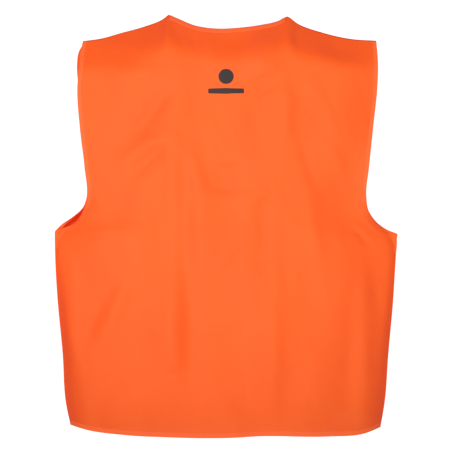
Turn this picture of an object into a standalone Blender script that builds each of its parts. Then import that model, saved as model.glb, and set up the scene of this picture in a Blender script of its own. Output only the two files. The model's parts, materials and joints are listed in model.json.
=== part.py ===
"""Blaze orange vest with a zip front, hung by its shoulders and unzipped.

Metres, +Z up. The back faces -Y, the front faces +Y, and the wearer's right is +X. The origin is the middle of the
shoulder line at the height of the neck points, where a hanger holds the vest. Each front is one piece of cloth that
folds along a straight line from the neck point to the hem: outside that line it belongs to the vest's body, inside it
is a flap that swings open. Both flaps hang in one plane, which leans forward as it goes down.
"""

import math

import bmesh
import bpy
from mathutils import Matrix, Vector

MM = 0.001

# Driving dimensions of the cut.
NECK_X = 0.098  # half the width between the neck points
SHOULDER_X = 0.2475  # half the width between the shoulder tips
SHOULDER_DROP = 0.044
NECK_DROP = 0.0226  # of the back neckline's middle
ARMHOLE_X = 0.2325  # half width where the armholes come closest
ARMHOLE_Z = -0.300
UNDERARM_X = 0.285
UNDERARM_Z = -0.360
CORNER_X = 0.2585  # half width at the hem
CORNER_Z = -0.683
BACK_HEM_Z = -0.699  # the back hem's lowest point, at its middle
FRONT_HEM_Z = -0.688
V_Z = -0.1165  # foot of the V neckline
V_CONTROL = (0.059, -0.090)  # pulls the V neckline's curve outwards, per side

# How it hangs.
SEAM_Y = -0.008  # the side seams' depth
ROLL = 0.070  # height over which the shoulder rolls from level to upright
BACK_TOP_Y = -0.040  # depth of the back's middle under the roll
BACK_LOW_Y = -0.065  # and at the hem
ARM_EDGE_Y = -0.024  # depth of the back's armhole edge
NECK_SET = 0.012  # how far the back neckline stands behind the shoulder line
FRONT_Y = 0.014  # the front plane's depth at the shoulder
FRONT_LEAN = 0.0565  # and its forward slope going down
FOLD_LOW_X = 0.215  # the fold line's distance from the middle at the hem
CLOSURE_X = (0.015, 0.034)  # the zip line at the foot of the V and at the hem: the fronts hang askew

# Cloth and trim.
CLOTH = 1.2 * MM
TRIM = 0.8 * MM
GAP = 0.3 * MM
FACET_CLEAR = 1.2 * MM  # from the back's flat facets to what lies on its smooth curve
FOLD_GAP = 1.2 * MM  # between the fold line and the cloth on each side of it
HEM_WIDE = 9 * MM
EDGE_WIDE = 9.6 * MM
BAND_WIDE = 6.6 * MM
POCKET_WIDE = 0.124
POCKET_TOP_Z = -0.505
POCKET_DEEP = 14 * MM
POCKET_TO_ZIP = 14 * MM

# The zip, across from the line on which its halves would meet.
COIL_INNER = 0.3 * MM
COIL_OUTER = 3.2 * MM
TAPE_INNER = 0.8 * MM
TAPE_OUTER = 16 * MM
CLOTH_TO_ZIP = 5.5 * MM
RIGHT_HALF_AWAY = 4.6 * MM  # the free half hangs this far to the side of where it would mesh
TAPE_THICK = 0.6 * MM
COIL_THICK = 1.6 * MM
PLATE_THICK = 0.9 * MM
SLIDER_LONG = 10 * MM
SLIDER_HALF = 4.2 * MM
BOX_LONG = 6.5 * MM
PIN_LONG = 14 * MM
TAB_LONG = 22 * MM
TAB_HALF = 3.4 * MM
STOP_LONG = 2.5 * MM
ZIP_FOOT_Z = -0.676  # where the retainer box ends, a little above the front hem

ORANGE = (0.97, 0.165, 0.042)


# ---------------------------------------------------------------- building blocks


def clear_scene():
    for old in list(bpy.data.objects):
        bpy.data.objects.remove(old, do_unlink=True)


def material(name, colour, roughness=0.8, metallic=0.0):
    made = bpy.data.materials.new(name)
    made.use_nodes = True
    shader = made.node_tree.nodes["Principled BSDF"]
    shader.inputs["Base Color"].default_value = (*colour, 1)
    shader.inputs["Roughness"].default_value = roughness
    shader.inputs["Metallic"].default_value = metallic
    return made


def add(name, bm, finish, parent=None):
    """A new object from bm, riding on the parent empty without moving from where it was modelled."""
    mesh = bpy.data.meshes.new(name)
    bm.to_mesh(mesh)
    bm.free()
    mesh.materials.append(material(name, *finish))
    made = bpy.data.objects.new(name, mesh)
    bpy.context.collection.objects.link(made)
    if parent:
        made.parent = parent
        made.matrix_parent_inverse = parent.matrix_world.inverted()
    return made


def axis_empty(name, place, along):
    """An empty on a joint's axis, with its own Z along that axis."""
    made = bpy.data.objects.new(name, None)
    made.matrix_world = Matrix.Translation(place) @ along.to_track_quat("Z", "Y").to_matrix().to_4x4()
    bpy.context.collection.objects.link(made)
    bpy.context.view_layer.update()
    return made


def shifted(rows, distance):
    """The grid of points moved along its own normals."""
    last, wide = len(rows) - 1, len(rows[0]) - 1
    moved = []
    for i, row in enumerate(rows):
        line = []
        for j, point in enumerate(row):
            down = rows[min(i + 1, last)][j] - rows[max(i - 1, 0)][j]
            across = row[min(j + 1, wide)] - row[max(j - 1, 0)]
            line.append(point + distance * across.cross(down).normalized())
        moved.append(line)
    return moved


def sheet(name, rows, thick, finish, parent=None):
    """A closed sheet of cloth around the grid of points."""
    bm = bmesh.new()
    grid = [[bm.verts.new(point) for point in row] for row in rows]
    for upper, lower in zip(grid, grid[1:]):
        for j in range(len(upper) - 1):
            bm.faces.new((upper[j], lower[j], lower[j + 1], upper[j + 1]))
    made = add(name, bm, finish, parent)
    solid = made.modifiers.new("thickness", "SOLIDIFY")
    solid.thickness = thick
    solid.offset = 0
    solid.use_even_offset = True
    return made


def plate(name, outline, low, high, frame, finish, parent=None):
    """A flat piece: the outline is in the frame's X and Y, and low and high are along its Z."""
    bm = bmesh.new()
    bm.faces.new([bm.verts.new((x, y, low)) for x, y in outline])
    grown = bmesh.ops.extrude_face_region(bm, geom=bm.faces[:])
    top = [item for item in grown["geom"] if isinstance(item, bmesh.types.BMVert)]
    bmesh.ops.translate(bm, verts=top, vec=(0, 0, high - low))
    bm.transform(frame)
    bmesh.ops.recalc_face_normals(bm, faces=bm.faces[:])
    if bm.calc_volume(signed=True) < 0:
        bmesh.ops.reverse_faces(bm, faces=bm.faces[:])
    return add(name, bm, finish, parent)


def rectangle(x0, x1, y0, y1):
    return [(x0, y0), (x1, y0), (x1, y1), (x0, y1)]


def band(line, width):
    """The outline of a band on the left of a line of points."""
    inner = []
    for i, (x, y) in enumerate(line):
        x0, y0 = line[max(i - 1, 0)]
        x1, y1 = line[min(i + 1, len(line) - 1)]
        long = math.hypot(x1 - x0, y1 - y0)
        inner.append((x - width * (y1 - y0) / long, y + width * (x1 - x0) / long))
    return line + inner[::-1]


def spread(low, high, steps):
    return [low + (high - low) * i / steps for i in range(steps + 1)]


def smooth(low, high, value):
    """0 below low, 1 above high, and an even rise between."""
    t = min(max((value - low) / (high - low), 0), 1)
    return t * t * (3 - 2 * t)


def mix(a, b, t):
    return a + (b - a) * t


# ---------------------------------------------------------------- the cut's outlines


def top_z(x):
    """Height of the back's top edge: the neckline, then the shoulder."""
    if x < NECK_X:
        return -NECK_DROP * (1 - (x / NECK_X) ** 4)
    return -SHOULDER_DROP * ((x - NECK_X) / (SHOULDER_X - NECK_X)) ** 0.85


def hem_z(h):
    """Height of the back hem at a share h of its half width."""
    return mix(BACK_HEM_Z, CORNER_Z, abs(h) ** 4)


def side_outline(roll_steps=5, arm_steps=5, curve_steps=5, side_steps=6):
    """(x, z) down the panel's side edge: shoulder tip, armhole, underarm, side seam, hem corner."""
    heights = [
        -SHOULDER_DROP - ROLL * (1 - math.cos(math.radians(90 * i / roll_steps))) for i in range(roll_steps)
    ] + spread(-SHOULDER_DROP - ROLL, ARMHOLE_Z, arm_steps)
    points = []
    for z in heights:
        down = (-SHOULDER_DROP - z) / (-SHOULDER_DROP - ARMHOLE_Z)
        points.append((mix(SHOULDER_X, ARMHOLE_X, smooth(0.25, 1, down)), z))
    for i in range(1, curve_steps + 1):
        turn = math.radians(90 * i / curve_steps)
        points.append(
            (
                mix(UNDERARM_X, ARMHOLE_X, math.cos(turn)),
                mix(ARMHOLE_Z, UNDERARM_Z, math.sin(turn)),
            )
        )
    for t in spread(0, 1, side_steps)[1:]:
        points.append((mix(UNDERARM_X, CORNER_X, t**1.15), mix(UNDERARM_Z, CORNER_Z, t)))
    return points


def way_down(z):
    return (-SHOULDER_DROP - z) / (-SHOULDER_DROP - CORNER_Z)


def closed_share(z):
    """0 beside the armholes, 1 where the side seams close the vest."""
    return smooth(-0.31, UNDERARM_Z, z) if z > UNDERARM_Z else 1.0


def back_point(h, side):
    """A point of the back at a share h of the row that ends at side, a point of side_outline."""
    x, z = side
    v = way_down(z)
    lift = (1 - v) * (top_z(abs(h) * SHOULDER_X) + SHOULDER_DROP) + v * (hem_z(h) - CORNER_Z)
    rolled = min(max((-SHOULDER_DROP - z) / ROLL, 0), 1)
    roll = math.sqrt(1 - (1 - rolled) ** 2)
    closed = closed_share(z)
    edge = mix(ARM_EDGE_Y * roll, SEAM_Y - 3 * GAP, closed)
    middle = roll * mix(BACK_TOP_Y, BACK_LOW_Y, v)
    full = mix(1 - abs(h) ** 2.4, math.sqrt(max(1 - abs(h) ** 3, 0)), closed)
    neck = NECK_SET * (1 - min(abs(h) * SHOULDER_X / NECK_X, 1) ** 2) * (1 - rolled) ** 2
    return Vector((h * x, mix(edge, middle, full) - neck, z + lift))


def back_at(x, z):
    """The back's point at a given x and z, by settling on its row."""
    row_z = z
    for _ in range(12):
        row_x = row_edge_x(row_z)
        row_z += z - back_point(x / row_x, (row_x, row_z)).z
    return back_point(x / row_x, (row_x, row_z))


def row_edge_x(z):
    """Half width at a height beside the armhole."""
    down = (-SHOULDER_DROP - z) / (-SHOULDER_DROP - ARMHOLE_Z)
    return mix(SHOULDER_X, ARMHOLE_X, smooth(0.25, 1, down))


def front_y(z):
    return FRONT_Y - FRONT_LEAN * z


def fold_x(z):
    return mix(NECK_X, FOLD_LOW_X, z / FRONT_HEM_Z)


def fold_hem_z():
    return mix(FRONT_HEM_Z, CORNER_Z, 0.35)


def closure_x(z):
    return mix(*CLOSURE_X, (z - V_Z) / (FRONT_HEM_Z - V_Z))


def front_side_point(u, side, sign):
    """A point of a front's outer part, from the fold line (u = 0) to its edge (u = 1)."""
    x, z = side
    v = way_down(z)
    inner_z = z + (1 - v) * SHOULDER_DROP + v * (fold_hem_z() - CORNER_Z)
    inner_x = fold_x(inner_z) + FOLD_GAP
    height = mix(inner_z, z, u)
    flat = front_y(height)
    closed = closed_share(z)
    edge = mix(flat, SEAM_Y + 3 * GAP, mix(smooth(-0.12, -0.40, z) * 0.35, 1, closed))
    turn = math.radians(90 * u)
    along = mix(u, math.sin(turn), closed)
    inward = mix(u * u, 1 - math.cos(turn), closed)
    return Vector((sign * mix(inner_x, x, along), mix(flat, edge, inward), height))


# ---------------------------------------------------------------- frames

OUT = Vector((0, 1, FRONT_LEAN)).normalized()


def frame_of(across, up, origin):
    """Across, up and out of the front plane. It is left-handed, so a plate turns its faces out after using it."""
    frame = Matrix((across, up, OUT)).transposed().to_4x4()
    frame.translation = origin
    return frame


def front_frame():
    """X and Z of the row on the front plane: an outline's second number is its height."""
    return frame_of(Vector((1, 0, 0)), Vector((0, -FRONT_LEAN, 1)), Vector((0, FRONT_Y, 0)))


def closure_point(z):
    return Vector((closure_x(z), front_y(z), z))


def zip_up():
    return (closure_point(V_Z) - closure_point(FRONT_HEM_Z)).normalized()


def zip_frame():
    """From the retainer box's foot, in the middle of the tapes' thickness."""
    foot = closure_point(ZIP_FOOT_Z) - OUT * (CLOTH / 2 + GAP + TAPE_THICK / 2)
    return frame_of(OUT.cross(zip_up()), zip_up(), foot)


def zip_top():
    """Length of the zip tapes."""
    return (closure_point(V_Z) - closure_point(ZIP_FOOT_Z)).length - 2 * MM


# ---------------------------------------------------------------- materials by piece

CLOTH_FINISH = (ORANGE, 0.85)
BAND_FINISH = ((0.98, 0.20, 0.06), 0.8)
TAPE_FINISH = ((0.9, 0.14, 0.035), 0.8)
COIL_FINISH = ((0.85, 0.12, 0.03), 0.45)
PLASTIC_FINISH = ((0.8, 0.11, 0.03), 0.4)
METAL_FINISH = ((0.08, 0.075, 0.07), 0.4, 0.9)
LABEL_FINISH = ((0.85, 0.8, 0.75), 0.7)
PRINT_FINISH = ((0.07, 0.05, 0.045), 0.6)


# ---------------------------------------------------------------- the fixed part of the vest


def back_columns(lateral=6, medial=2):
    """Shares of the half width, with one on each neck point and closer together towards the sides."""
    neck = math.degrees(math.asin(NECK_X / SHOULDER_X))
    turns = spread(0, neck, medial) + spread(neck, 90, lateral)[1:]
    half = [math.sin(math.radians(turn)) for turn in turns]
    return [-h for h in half[:0:-1]] + half


def build_back():
    rows = [[back_point(h, side) for h in back_columns()] for side in side_outline()]
    sheet("back_panel", rows, CLOTH, CLOTH_FINISH)


def build_back_trim():
    inside = CLOTH / 2 + GAP + TRIM / 2
    hem = [[back_point(h, (CORNER_X, CORNER_Z + up)) for h in back_columns()[1:-1]] for up in (HEM_WIDE, GAP)]
    sheet("back_hem", shifted(hem, inside), TRIM, CLOTH_FINISH)

    neck_columns = [h for h in back_columns() if abs(h) < NECK_X / SHOULDER_X + 0.01]
    band_rows = [[back_point(h, side) for h in neck_columns] for side in side_outline()[:3]]
    sheet("back_neck_band", shifted(band_rows, -inside), TRIM, BAND_FINISH)


def armhole_rows():
    """The side outline from just under the shoulder tip to just short of the underarm."""
    return [side for side in side_outline() if -SHOULDER_DROP - 6 * MM > side[1] > UNDERARM_Z + 12 * MM]


def build_armhole_edges(sign, word):
    inside = CLOTH / 2 + FACET_CLEAR + TRIM / 2
    back, front = [], []
    for side in armhole_rows():
        near, far = 1 - GAP / side[0], 1 - EDGE_WIDE / side[0]
        back.append([back_point(sign * h, side) for h in (far, near)])
        inner = fold_x(side[1])
        front.append(
            [front_side_point(u, side, sign) for u in (1 - EDGE_WIDE / (side[0] - inner), 1 - GAP / (side[0] - inner))]
        )
    sheet(word + "_back_armhole_edge", shifted(back, sign * inside), TRIM, CLOTH_FINISH)
    sheet(word + "_front_armhole_edge", shifted(front, -sign * inside), TRIM, CLOTH_FINISH)


def build_front_side(sign, word):
    outline = side_outline()
    rows = [[front_side_point(u, side, sign) for u in spread(0, 1, 9)] for side in outline]
    sheet(word + "_front_side", rows, CLOTH, CLOTH_FINISH)
    hem = [
        [front_side_point(u, (CORNER_X, CORNER_Z + up), sign) for u in spread(0, 1, 9)[:-1]] for up in (HEM_WIDE, GAP)
    ]
    sheet(word + "_front_side_hem", shifted(hem, -sign * (CLOTH / 2 + GAP + TRIM / 2)), TRIM, CLOTH_FINISH)


def build_seams(sign, word):
    shoulder = []
    for x in spread(NECK_X + GAP, SHOULDER_X - GAP, 4):
        z = top_z(x)
        shoulder.append(
            [Vector((sign * x, mix(2 * GAP, FRONT_Y - CLOTH / 2 - GAP, t), z + 2 * MM * t * (1 - t))) for t in (0, 0.5, 1)]
        )
    sheet(word + "_shoulder_seam", shoulder, CLOTH, CLOTH_FINISH)

    side = []
    for x, z in [side for side in side_outline() if side[1] < UNDERARM_Z - MM]:
        if z < CORNER_Z + HEM_WIDE:
            z = CORNER_Z + HEM_WIDE + 2 * MM
        side.append([Vector((sign * (x - 3.4 * MM), SEAM_Y + y, z)) for y in (-3 * MM, 3 * MM)])
    sheet(word + "_side_seam", side, TRIM, CLOTH_FINISH)


def build_label():
    rows = [[back_at(x, z) for x in spread(-0.025, 0.027, 3)] for z in spread(-0.041, -0.084, 3)]
    sheet("neck_label", shifted(rows, CLOTH / 2 + FACET_CLEAR + TRIM / 2), TRIM, LABEL_FINISH)


def build_print():
    outside = -(CLOTH / 2 + FACET_CLEAR + TRIM / 2)
    bar = [[back_at(x, z) for x in spread(-0.031, 0.028, 5)] for z in (-0.122, -0.132)]
    sheet("back_print_bar", shifted(bar, outside), TRIM, PRINT_FINISH)

    middle_x, middle_z, radius, sides = -0.0015, -0.103, 0.0125, 16
    bm = bmesh.new()
    rim = []
    for i in range(sides):
        turn = 2 * math.pi * i / sides
        place = back_at(middle_x + radius * math.cos(turn), middle_z + radius * math.sin(turn))
        rim.append(bm.verts.new(place + Vector((0, outside, 0))))
    centre = bm.verts.new(back_at(middle_x, middle_z) + Vector((0, outside, 0)))
    for i in range(sides):
        bm.faces.new((centre, rim[i], rim[(i + 1) % sides]))
    disc = add("back_print_disc", bm, PRINT_FINISH)
    solid = disc.modifiers.new("thickness", "SOLIDIFY")
    solid.thickness = TRIM
    solid.offset = 0


# ---------------------------------------------------------------- the opening fronts


def edge_away(sign):
    """From the zip line to a flap's cloth edge, along X."""
    return CLOTH_TO_ZIP + RIGHT_HALF_AWAY if sign > 0 else -CLOTH_TO_ZIP


def v_curve(sign, last=0.93, steps=10):
    """(x, z) up the V neckline, from its foot towards the neck point."""
    foot = (closure_x(V_Z) + edge_away(sign), V_Z)
    pull = (sign * V_CONTROL[0], V_CONTROL[1])
    neck = (sign * NECK_X, 0)
    points = []
    for t in spread(0, last, steps):
        points.append(
            tuple((1 - t) ** 2 * a + 2 * t * (1 - t) * b + t * t * c for a, b, c in zip(foot, pull, neck))
        )
    return points


def build_front(sign, word, hinge):
    frame = front_frame()
    curve = v_curve(sign)
    top = curve[-1][1]
    low_edge = closure_x(FRONT_HEM_Z) + edge_away(sign)
    fold_top = (sign * (fold_x(top) - FOLD_GAP), top)
    fold_low = (sign * (fold_x(fold_hem_z()) - FOLD_GAP), fold_hem_z())
    outline = curve + [fold_top, fold_low, (low_edge, FRONT_HEM_Z)]
    plate(word + "_front_flap", outline, -CLOTH / 2, CLOTH / 2, frame, CLOTH_FINISH, hinge)

    outer = CLOTH / 2 + GAP
    strip = band(v_curve(sign, 0.88), -sign * BAND_WIDE)
    plate(word + "_neck_band", strip, outer, outer + TRIM, frame, BAND_FINISH, hinge)

    tape_edge = closure_x(FRONT_HEM_Z) + sign * (TAPE_OUTER + MM) + (RIGHT_HALF_AWAY if sign > 0 else 0)
    hem = [
        (tape_edge, FRONT_HEM_Z + GAP),
        (fold_low[0], fold_low[1] + GAP),
        (sign * (fold_x(fold_low[1] + HEM_WIDE) - FOLD_GAP), fold_low[1] + HEM_WIDE),
        (tape_edge, FRONT_HEM_Z + HEM_WIDE),
    ]
    plate(word + "_front_hem", hem, -outer - TRIM, -outer, frame, CLOTH_FINISH, hinge)


def pocket_rows(sign, shares, lift=0.0):
    """A bulged pocket front, open along its top; shares run from its foot (0) to its mouth (1)."""
    foot_z = FRONT_HEM_Z + MM
    rows = []
    for w in shares:
        z = mix(foot_z, POCKET_TOP_Z, w)
        near = closure_x(z) + sign * POCKET_TO_ZIP + (RIGHT_HALF_AWAY if sign > 0 else 0)
        row = []
        for u in [(1 - math.cos(math.pi * i / 6)) / 2 for i in range(7)]:
            rise = POCKET_DEEP * math.sqrt(math.sin(math.pi * u)) * math.sin(math.pi * w / 2) ** 0.6
            out = CLOTH / 2 + GAP + CLOTH / 2 + rise + lift
            row.append(front_frame() @ Vector((near + sign * POCKET_WIDE * u, z, out)))
        rows.append(row)
    return rows


def build_pocket(sign, word, hinge):
    sheet(word + "_pocket", pocket_rows(sign, (0, 0.06, 0.2, 0.4, 0.7, 1)), CLOTH, CLOTH_FINISH, hinge)
    hem = pocket_rows(sign, (0.9, 0.995), CLOTH / 2 + GAP + TRIM)
    sheet(word + "_pocket_hem", hem, TRIM, CLOTH_FINISH, hinge)


# ---------------------------------------------------------------- the zip


def across(sign, inner, outer):
    """The two distances from the zip line, on one side of it; the right half hangs further off."""
    away = RIGHT_HALF_AWAY if sign > 0 else 0
    return sorted((sign * inner + away, sign * outer + away))


def build_zip_half(sign, word, hinge):
    frame, top = zip_frame(), zip_top()
    on_tape = TAPE_THICK / 2 + GAP
    pin_foot = BOX_LONG + GAP if sign < 0 else 0
    coil_foot = pin_foot + PIN_LONG + GAP
    coil_top = top - STOP_LONG - 2 * MM
    tape = rectangle(*across(sign, TAPE_INNER, TAPE_OUTER), 0, top)
    plate(word + "_zip_tape", tape, -TAPE_THICK / 2, TAPE_THICK / 2, frame, TAPE_FINISH, hinge)
    coil = rectangle(*across(sign, COIL_INNER, COIL_OUTER), coil_foot, coil_top)
    plate(word + "_zip_coil", coil, on_tape, on_tape + COIL_THICK, frame, COIL_FINISH, hinge)
    stop = rectangle(*across(sign, COIL_INNER, COIL_OUTER), coil_top + GAP, coil_top + GAP + STOP_LONG)
    plate(word + "_top_stop", stop, on_tape, on_tape + COIL_THICK, frame, PLASTIC_FINISH, hinge)
    pin_name = "zip_box_pin" if sign < 0 else "zip_insertion_pin"
    pin = rectangle(*across(sign, COIL_INNER, COIL_OUTER - MM), pin_foot, pin_foot + PIN_LONG)
    plate(pin_name, pin, on_tape, on_tape + COIL_THICK - GAP, frame, PLASTIC_FINISH, hinge)
    if sign < 0:
        box = rectangle(-COIL_OUTER - 0.6 * MM, COIL_OUTER, 0, BOX_LONG)
        plate("zip_retainer_box", box, on_tape, on_tape + 2.3 * MM, frame, PLASTIC_FINISH, hinge)


def joined(name, parts, parent):
    """One closed body from overlapping ones, by Boolean unions."""
    body, *others = parts
    for other in others:
        union = body.modifiers.new("join " + other.name, "BOOLEAN")
        union.operation = "UNION"
        union.object = other
        other.hide_render = True
        other.display_type = "WIRE"
    body.name = name
    body.parent = parent
    body.matrix_parent_inverse = parent.matrix_world.inverted()


SLIDER_FOOT = BOX_LONG + GAP
PLATE_LOW = TAPE_THICK / 2 + GAP + COIL_THICK + GAP  # underside of the slider's outer plate
LUG_TALL = 3.2 * MM
LUG_HALF = 0.8 * MM
TAB_THICK = 1.1 * MM
TAB_PIVOT = (SLIDER_FOOT + 3.4 * MM, PLATE_LOW + PLATE_THICK + GAP + TAB_THICK / 2)  # up the zip, and out


def build_slider(slide_axis):
    frame = zip_frame()
    foot, head = SLIDER_FOOT, SLIDER_FOOT + SLIDER_LONG
    under = -TAPE_THICK / 2 - GAP
    shield = [
        (-SLIDER_HALF + MM, foot),
        (SLIDER_HALF - MM, foot),
        (SLIDER_HALF, foot + 5 * MM),
        (SLIDER_HALF - 0.5 * MM, head - MM),
        (MM, head),
        (-MM, head),
        (-SLIDER_HALF + 0.5 * MM, head - MM),
        (-SLIDER_HALF, foot + 5 * MM),
    ]
    outer = plate("slider_outer", shield, PLATE_LOW, PLATE_LOW + PLATE_THICK, frame, METAL_FINISH)
    inner = plate("slider_inner", shield, under - PLATE_THICK, under, frame, METAL_FINISH)
    post_outline = rectangle(0.2 * MM, 1.4 * MM, foot + 4 * MM, head - 0.6 * MM)
    post = plate("slider_post", post_outline, under - 0.5 * MM, PLATE_LOW + 0.5 * MM, frame, METAL_FINISH)
    # The lug's side view, an arch over the tab's bar, is drawn up the zip and outwards.
    base = PLATE_LOW + PLATE_THICK
    low, high = TAB_PIVOT[0] - 1.9 * MM, TAB_PIVOT[0] + 4.6 * MM
    arch = [
        (low, base - 0.4 * MM),
        (low + 0.9 * MM, base - 0.4 * MM),
        (low + 0.9 * MM, base + LUG_TALL - MM),
        (high - 1.2 * MM, base + LUG_TALL - MM),
        (high - 1.2 * MM, base - 0.4 * MM),
        (high, base - 0.4 * MM),
        (high, base + LUG_TALL - 0.6 * MM),
        (high - MM, base + LUG_TALL),
        (low + 0.6 * MM, base + LUG_TALL),
        (low, base + LUG_TALL - 0.6 * MM),
    ]
    upright = frame @ Matrix(((0, 0, 1, 0), (1, 0, 0, 0), (0, 1, 0, 0), (0, 0, 0, 1)))
    lug = plate("slider_lug", arch, -LUG_HALF, LUG_HALF, upright, METAL_FINISH)
    joined("zip_slider", [outer, inner, post, lug], slide_axis)


def build_tab(tab_axis):
    """A flat pull whose top bar passes under the slider's lug; it hangs in front of the zip."""
    frame = zip_frame()
    up, out = TAB_PIVOT
    window = 6.6 * MM  # below the bar, so that the pull clears the lug when it is turned up
    outline = [
        (-TAB_HALF, up - window),
        (-TAB_HALF + MM, up + TAB_THICK / 2),
        (TAB_HALF - MM, up + TAB_THICK / 2),
        (TAB_HALF, up - window),
        (TAB_HALF - 0.4 * MM, up - TAB_LONG + MM),
        (TAB_HALF - 1.6 * MM, up - TAB_LONG),
        (-TAB_HALF + 1.6 * MM, up - TAB_LONG),
        (-TAB_HALF + 0.4 * MM, up - TAB_LONG + MM),
    ]
    pull = plate("pull", outline, out - TAB_THICK / 2, out + TAB_THICK / 2, frame, METAL_FINISH)
    hole = rectangle(-LUG_HALF - 0.5 * MM, LUG_HALF + 0.5 * MM, up - window, up - TAB_THICK / 2)
    cutter = plate("pull_window", hole, out - TAB_THICK, out + TAB_THICK, frame, METAL_FINISH)
    cut = pull.modifiers.new("window", "BOOLEAN")
    cut.operation = "DIFFERENCE"
    cut.object = cutter
    cutter.hide_render = True
    cutter.display_type = "WIRE"
    pull.name = "zip_pull_tab"
    pull.parent = tab_axis
    pull.matrix_parent_inverse = tab_axis.matrix_world.inverted()


# ---------------------------------------------------------------- the whole vest


def main():
    clear_scene()
    build_back()
    build_back_trim()
    build_label()
    build_print()
    frame = zip_frame()
    slide_axis = axis_empty("slider_axis", frame @ Vector((0, SLIDER_FOOT, 0)), zip_up())
    tab_axis = axis_empty("tab_axis", frame @ Vector((0, *TAB_PIVOT)), OUT.cross(zip_up()))
    for sign, word in ((-1, "left"), (1, "right")):
        build_front_side(sign, word)
        build_armhole_edges(sign, word)
        build_seams(sign, word)
        neck = Vector((sign * NECK_X, FRONT_Y, 0))
        low = Vector((sign * FOLD_LOW_X, front_y(FRONT_HEM_Z), FRONT_HEM_Z))
        along = (neck - low).normalized() * -sign
        hinge = axis_empty(word + "_front_axis", neck + OUT * CLOTH, along)
        build_front(sign, word, hinge)
        build_pocket(sign, word, hinge)
        build_zip_half(sign, word, hinge)
        print(word, "front hinge", [round(c, 5) for c in hinge.location], [round(c, 6) for c in along])
    build_slider(slide_axis)
    build_tab(tab_axis)
    travel = zip_top() - 2 * MM - STOP_LONG - SLIDER_FOOT - SLIDER_LONG
    print("slider", [round(c, 6) for c in zip_up()], "travel", round(travel, 4))
    print("tab", [round(c, 5) for c in tab_axis.location], [round(c, 6) for c in OUT.cross(zip_up())])


main()
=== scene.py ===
"""Blaze orange vest: cloth, trims, zip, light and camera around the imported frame."""

import json
import math

import bmesh
import bpy
import numpy as np
from bpy.props import FloatProperty, FloatVectorProperty, PointerProperty
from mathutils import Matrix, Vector
from mathutils.bvhtree import BVHTree


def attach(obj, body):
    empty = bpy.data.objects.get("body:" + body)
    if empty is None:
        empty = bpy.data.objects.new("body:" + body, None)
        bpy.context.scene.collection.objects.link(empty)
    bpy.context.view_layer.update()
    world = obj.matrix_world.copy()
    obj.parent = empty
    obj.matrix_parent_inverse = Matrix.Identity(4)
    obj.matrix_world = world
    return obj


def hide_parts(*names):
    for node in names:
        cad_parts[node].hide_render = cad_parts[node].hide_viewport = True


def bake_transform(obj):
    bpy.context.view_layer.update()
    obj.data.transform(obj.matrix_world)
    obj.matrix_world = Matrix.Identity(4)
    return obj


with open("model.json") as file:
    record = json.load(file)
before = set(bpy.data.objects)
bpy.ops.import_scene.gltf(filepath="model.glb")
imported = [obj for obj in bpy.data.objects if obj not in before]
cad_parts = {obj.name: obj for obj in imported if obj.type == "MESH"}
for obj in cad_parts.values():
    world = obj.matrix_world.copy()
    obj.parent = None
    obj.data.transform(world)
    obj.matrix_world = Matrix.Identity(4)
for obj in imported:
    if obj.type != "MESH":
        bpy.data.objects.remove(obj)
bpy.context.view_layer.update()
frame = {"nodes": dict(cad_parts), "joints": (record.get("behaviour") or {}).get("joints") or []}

bl_info = {
    "name": "Blaze Orange Vest",
    "version": (1, 0, 0),
    "blender": (4, 5, 0),
    "location": "3D View > Sidebar > Vest",
    "description": "Makes a thin zip-front vest as it hangs, unzipped, around its working frame",
    "category": "Object",
}

MM = 0.001
LONG, BACK_WIDE, FRONT_WIDE = 0.70, 0.50, 0.22  # nominal cloth sizes, which turn shares into widths
PRINT_X = -1.5 * MM
INSIDE_GLOW = 0.32  # share of the light from its other face in the look of the cloth's inside
STITCH_IN = 1.4 * MM  # from the inner edge of a turned strip of cloth to its stitches
TURN_DEPTH = 0.6 * MM  # how far a turned strip lies inside the cloth
JOINTS = {joint["name"]: joint for joint in frame["joints"]}


# ---------------------------------------------------------------- settings


def length(label, description, default):
    return FloatProperty(name=label, description=description, default=default, unit="LENGTH")


def colour_of(label, description, default):
    return FloatVectorProperty(name=label, description=description, subtype="COLOR", size=3, default=default)


class VestSizes(bpy.types.PropertyGroup):
    cell: length("Cloth cell", "Spacing of the cloth's mesh", 3.4 * MM)
    fold_gain: FloatProperty(name="Fold gain", description="Multiplies every fold's height", default=1.0)
    fold_spread: FloatProperty(name="Fold spread", description="Multiplies every fold's width", default=1.6)
    hem_wide: length("Hem width", "Turned hem", 9 * MM)
    edge_wide: length("Armhole edge width", "Turned edge of an armhole", 7.4 * MM)
    band_wide: length("Neck band width", "Knitted neck band", 6.6 * MM)
    stitch_long: length("Stitch length", "One stitch", 2.6 * MM)
    thread: length("Thread radius", "Sewing thread", 0.3 * MM)
    tooth_pitch: length("Coil pitch", "From one turn to the next", 1.35 * MM)
    camera_far: length("Camera distance", "From the vest", 6.0)


class VestColours(bpy.types.PropertyGroup):
    cloth: colour_of("Cloth", "Blaze orange", (0.98, 0.106, 0.003))
    band: colour_of("Neck band", "A shade lighter", (0.98, 0.125, 0.016))
    # Paler than the cloth to lift the shade that falls on the stitches in their groove: painted light.
    thread: colour_of("Thread", "Sewing thread", (0.98, 0.19, 0.05))
    tape: colour_of("Zip tape", "Woven edge of each half of the zip", (0.88, 0.10, 0.025))
    plastic: colour_of("Zip plastic", "Coil, pins and stops", (0.78, 0.085, 0.02))
    metal: colour_of("Slider enamel", "Slider and pull", (0.07, 0.06, 0.055))
    label: colour_of("Label", "Woven neck label", (0.80, 0.72, 0.66))
    ink: colour_of("Ink", "Back print", (0.030, 0.016, 0.015))


def sizes():
    return bpy.context.scene.vest_sizes


def colours():
    return bpy.context.scene.vest_colours


# ---------------------------------------------------------------- shader node groups


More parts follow.
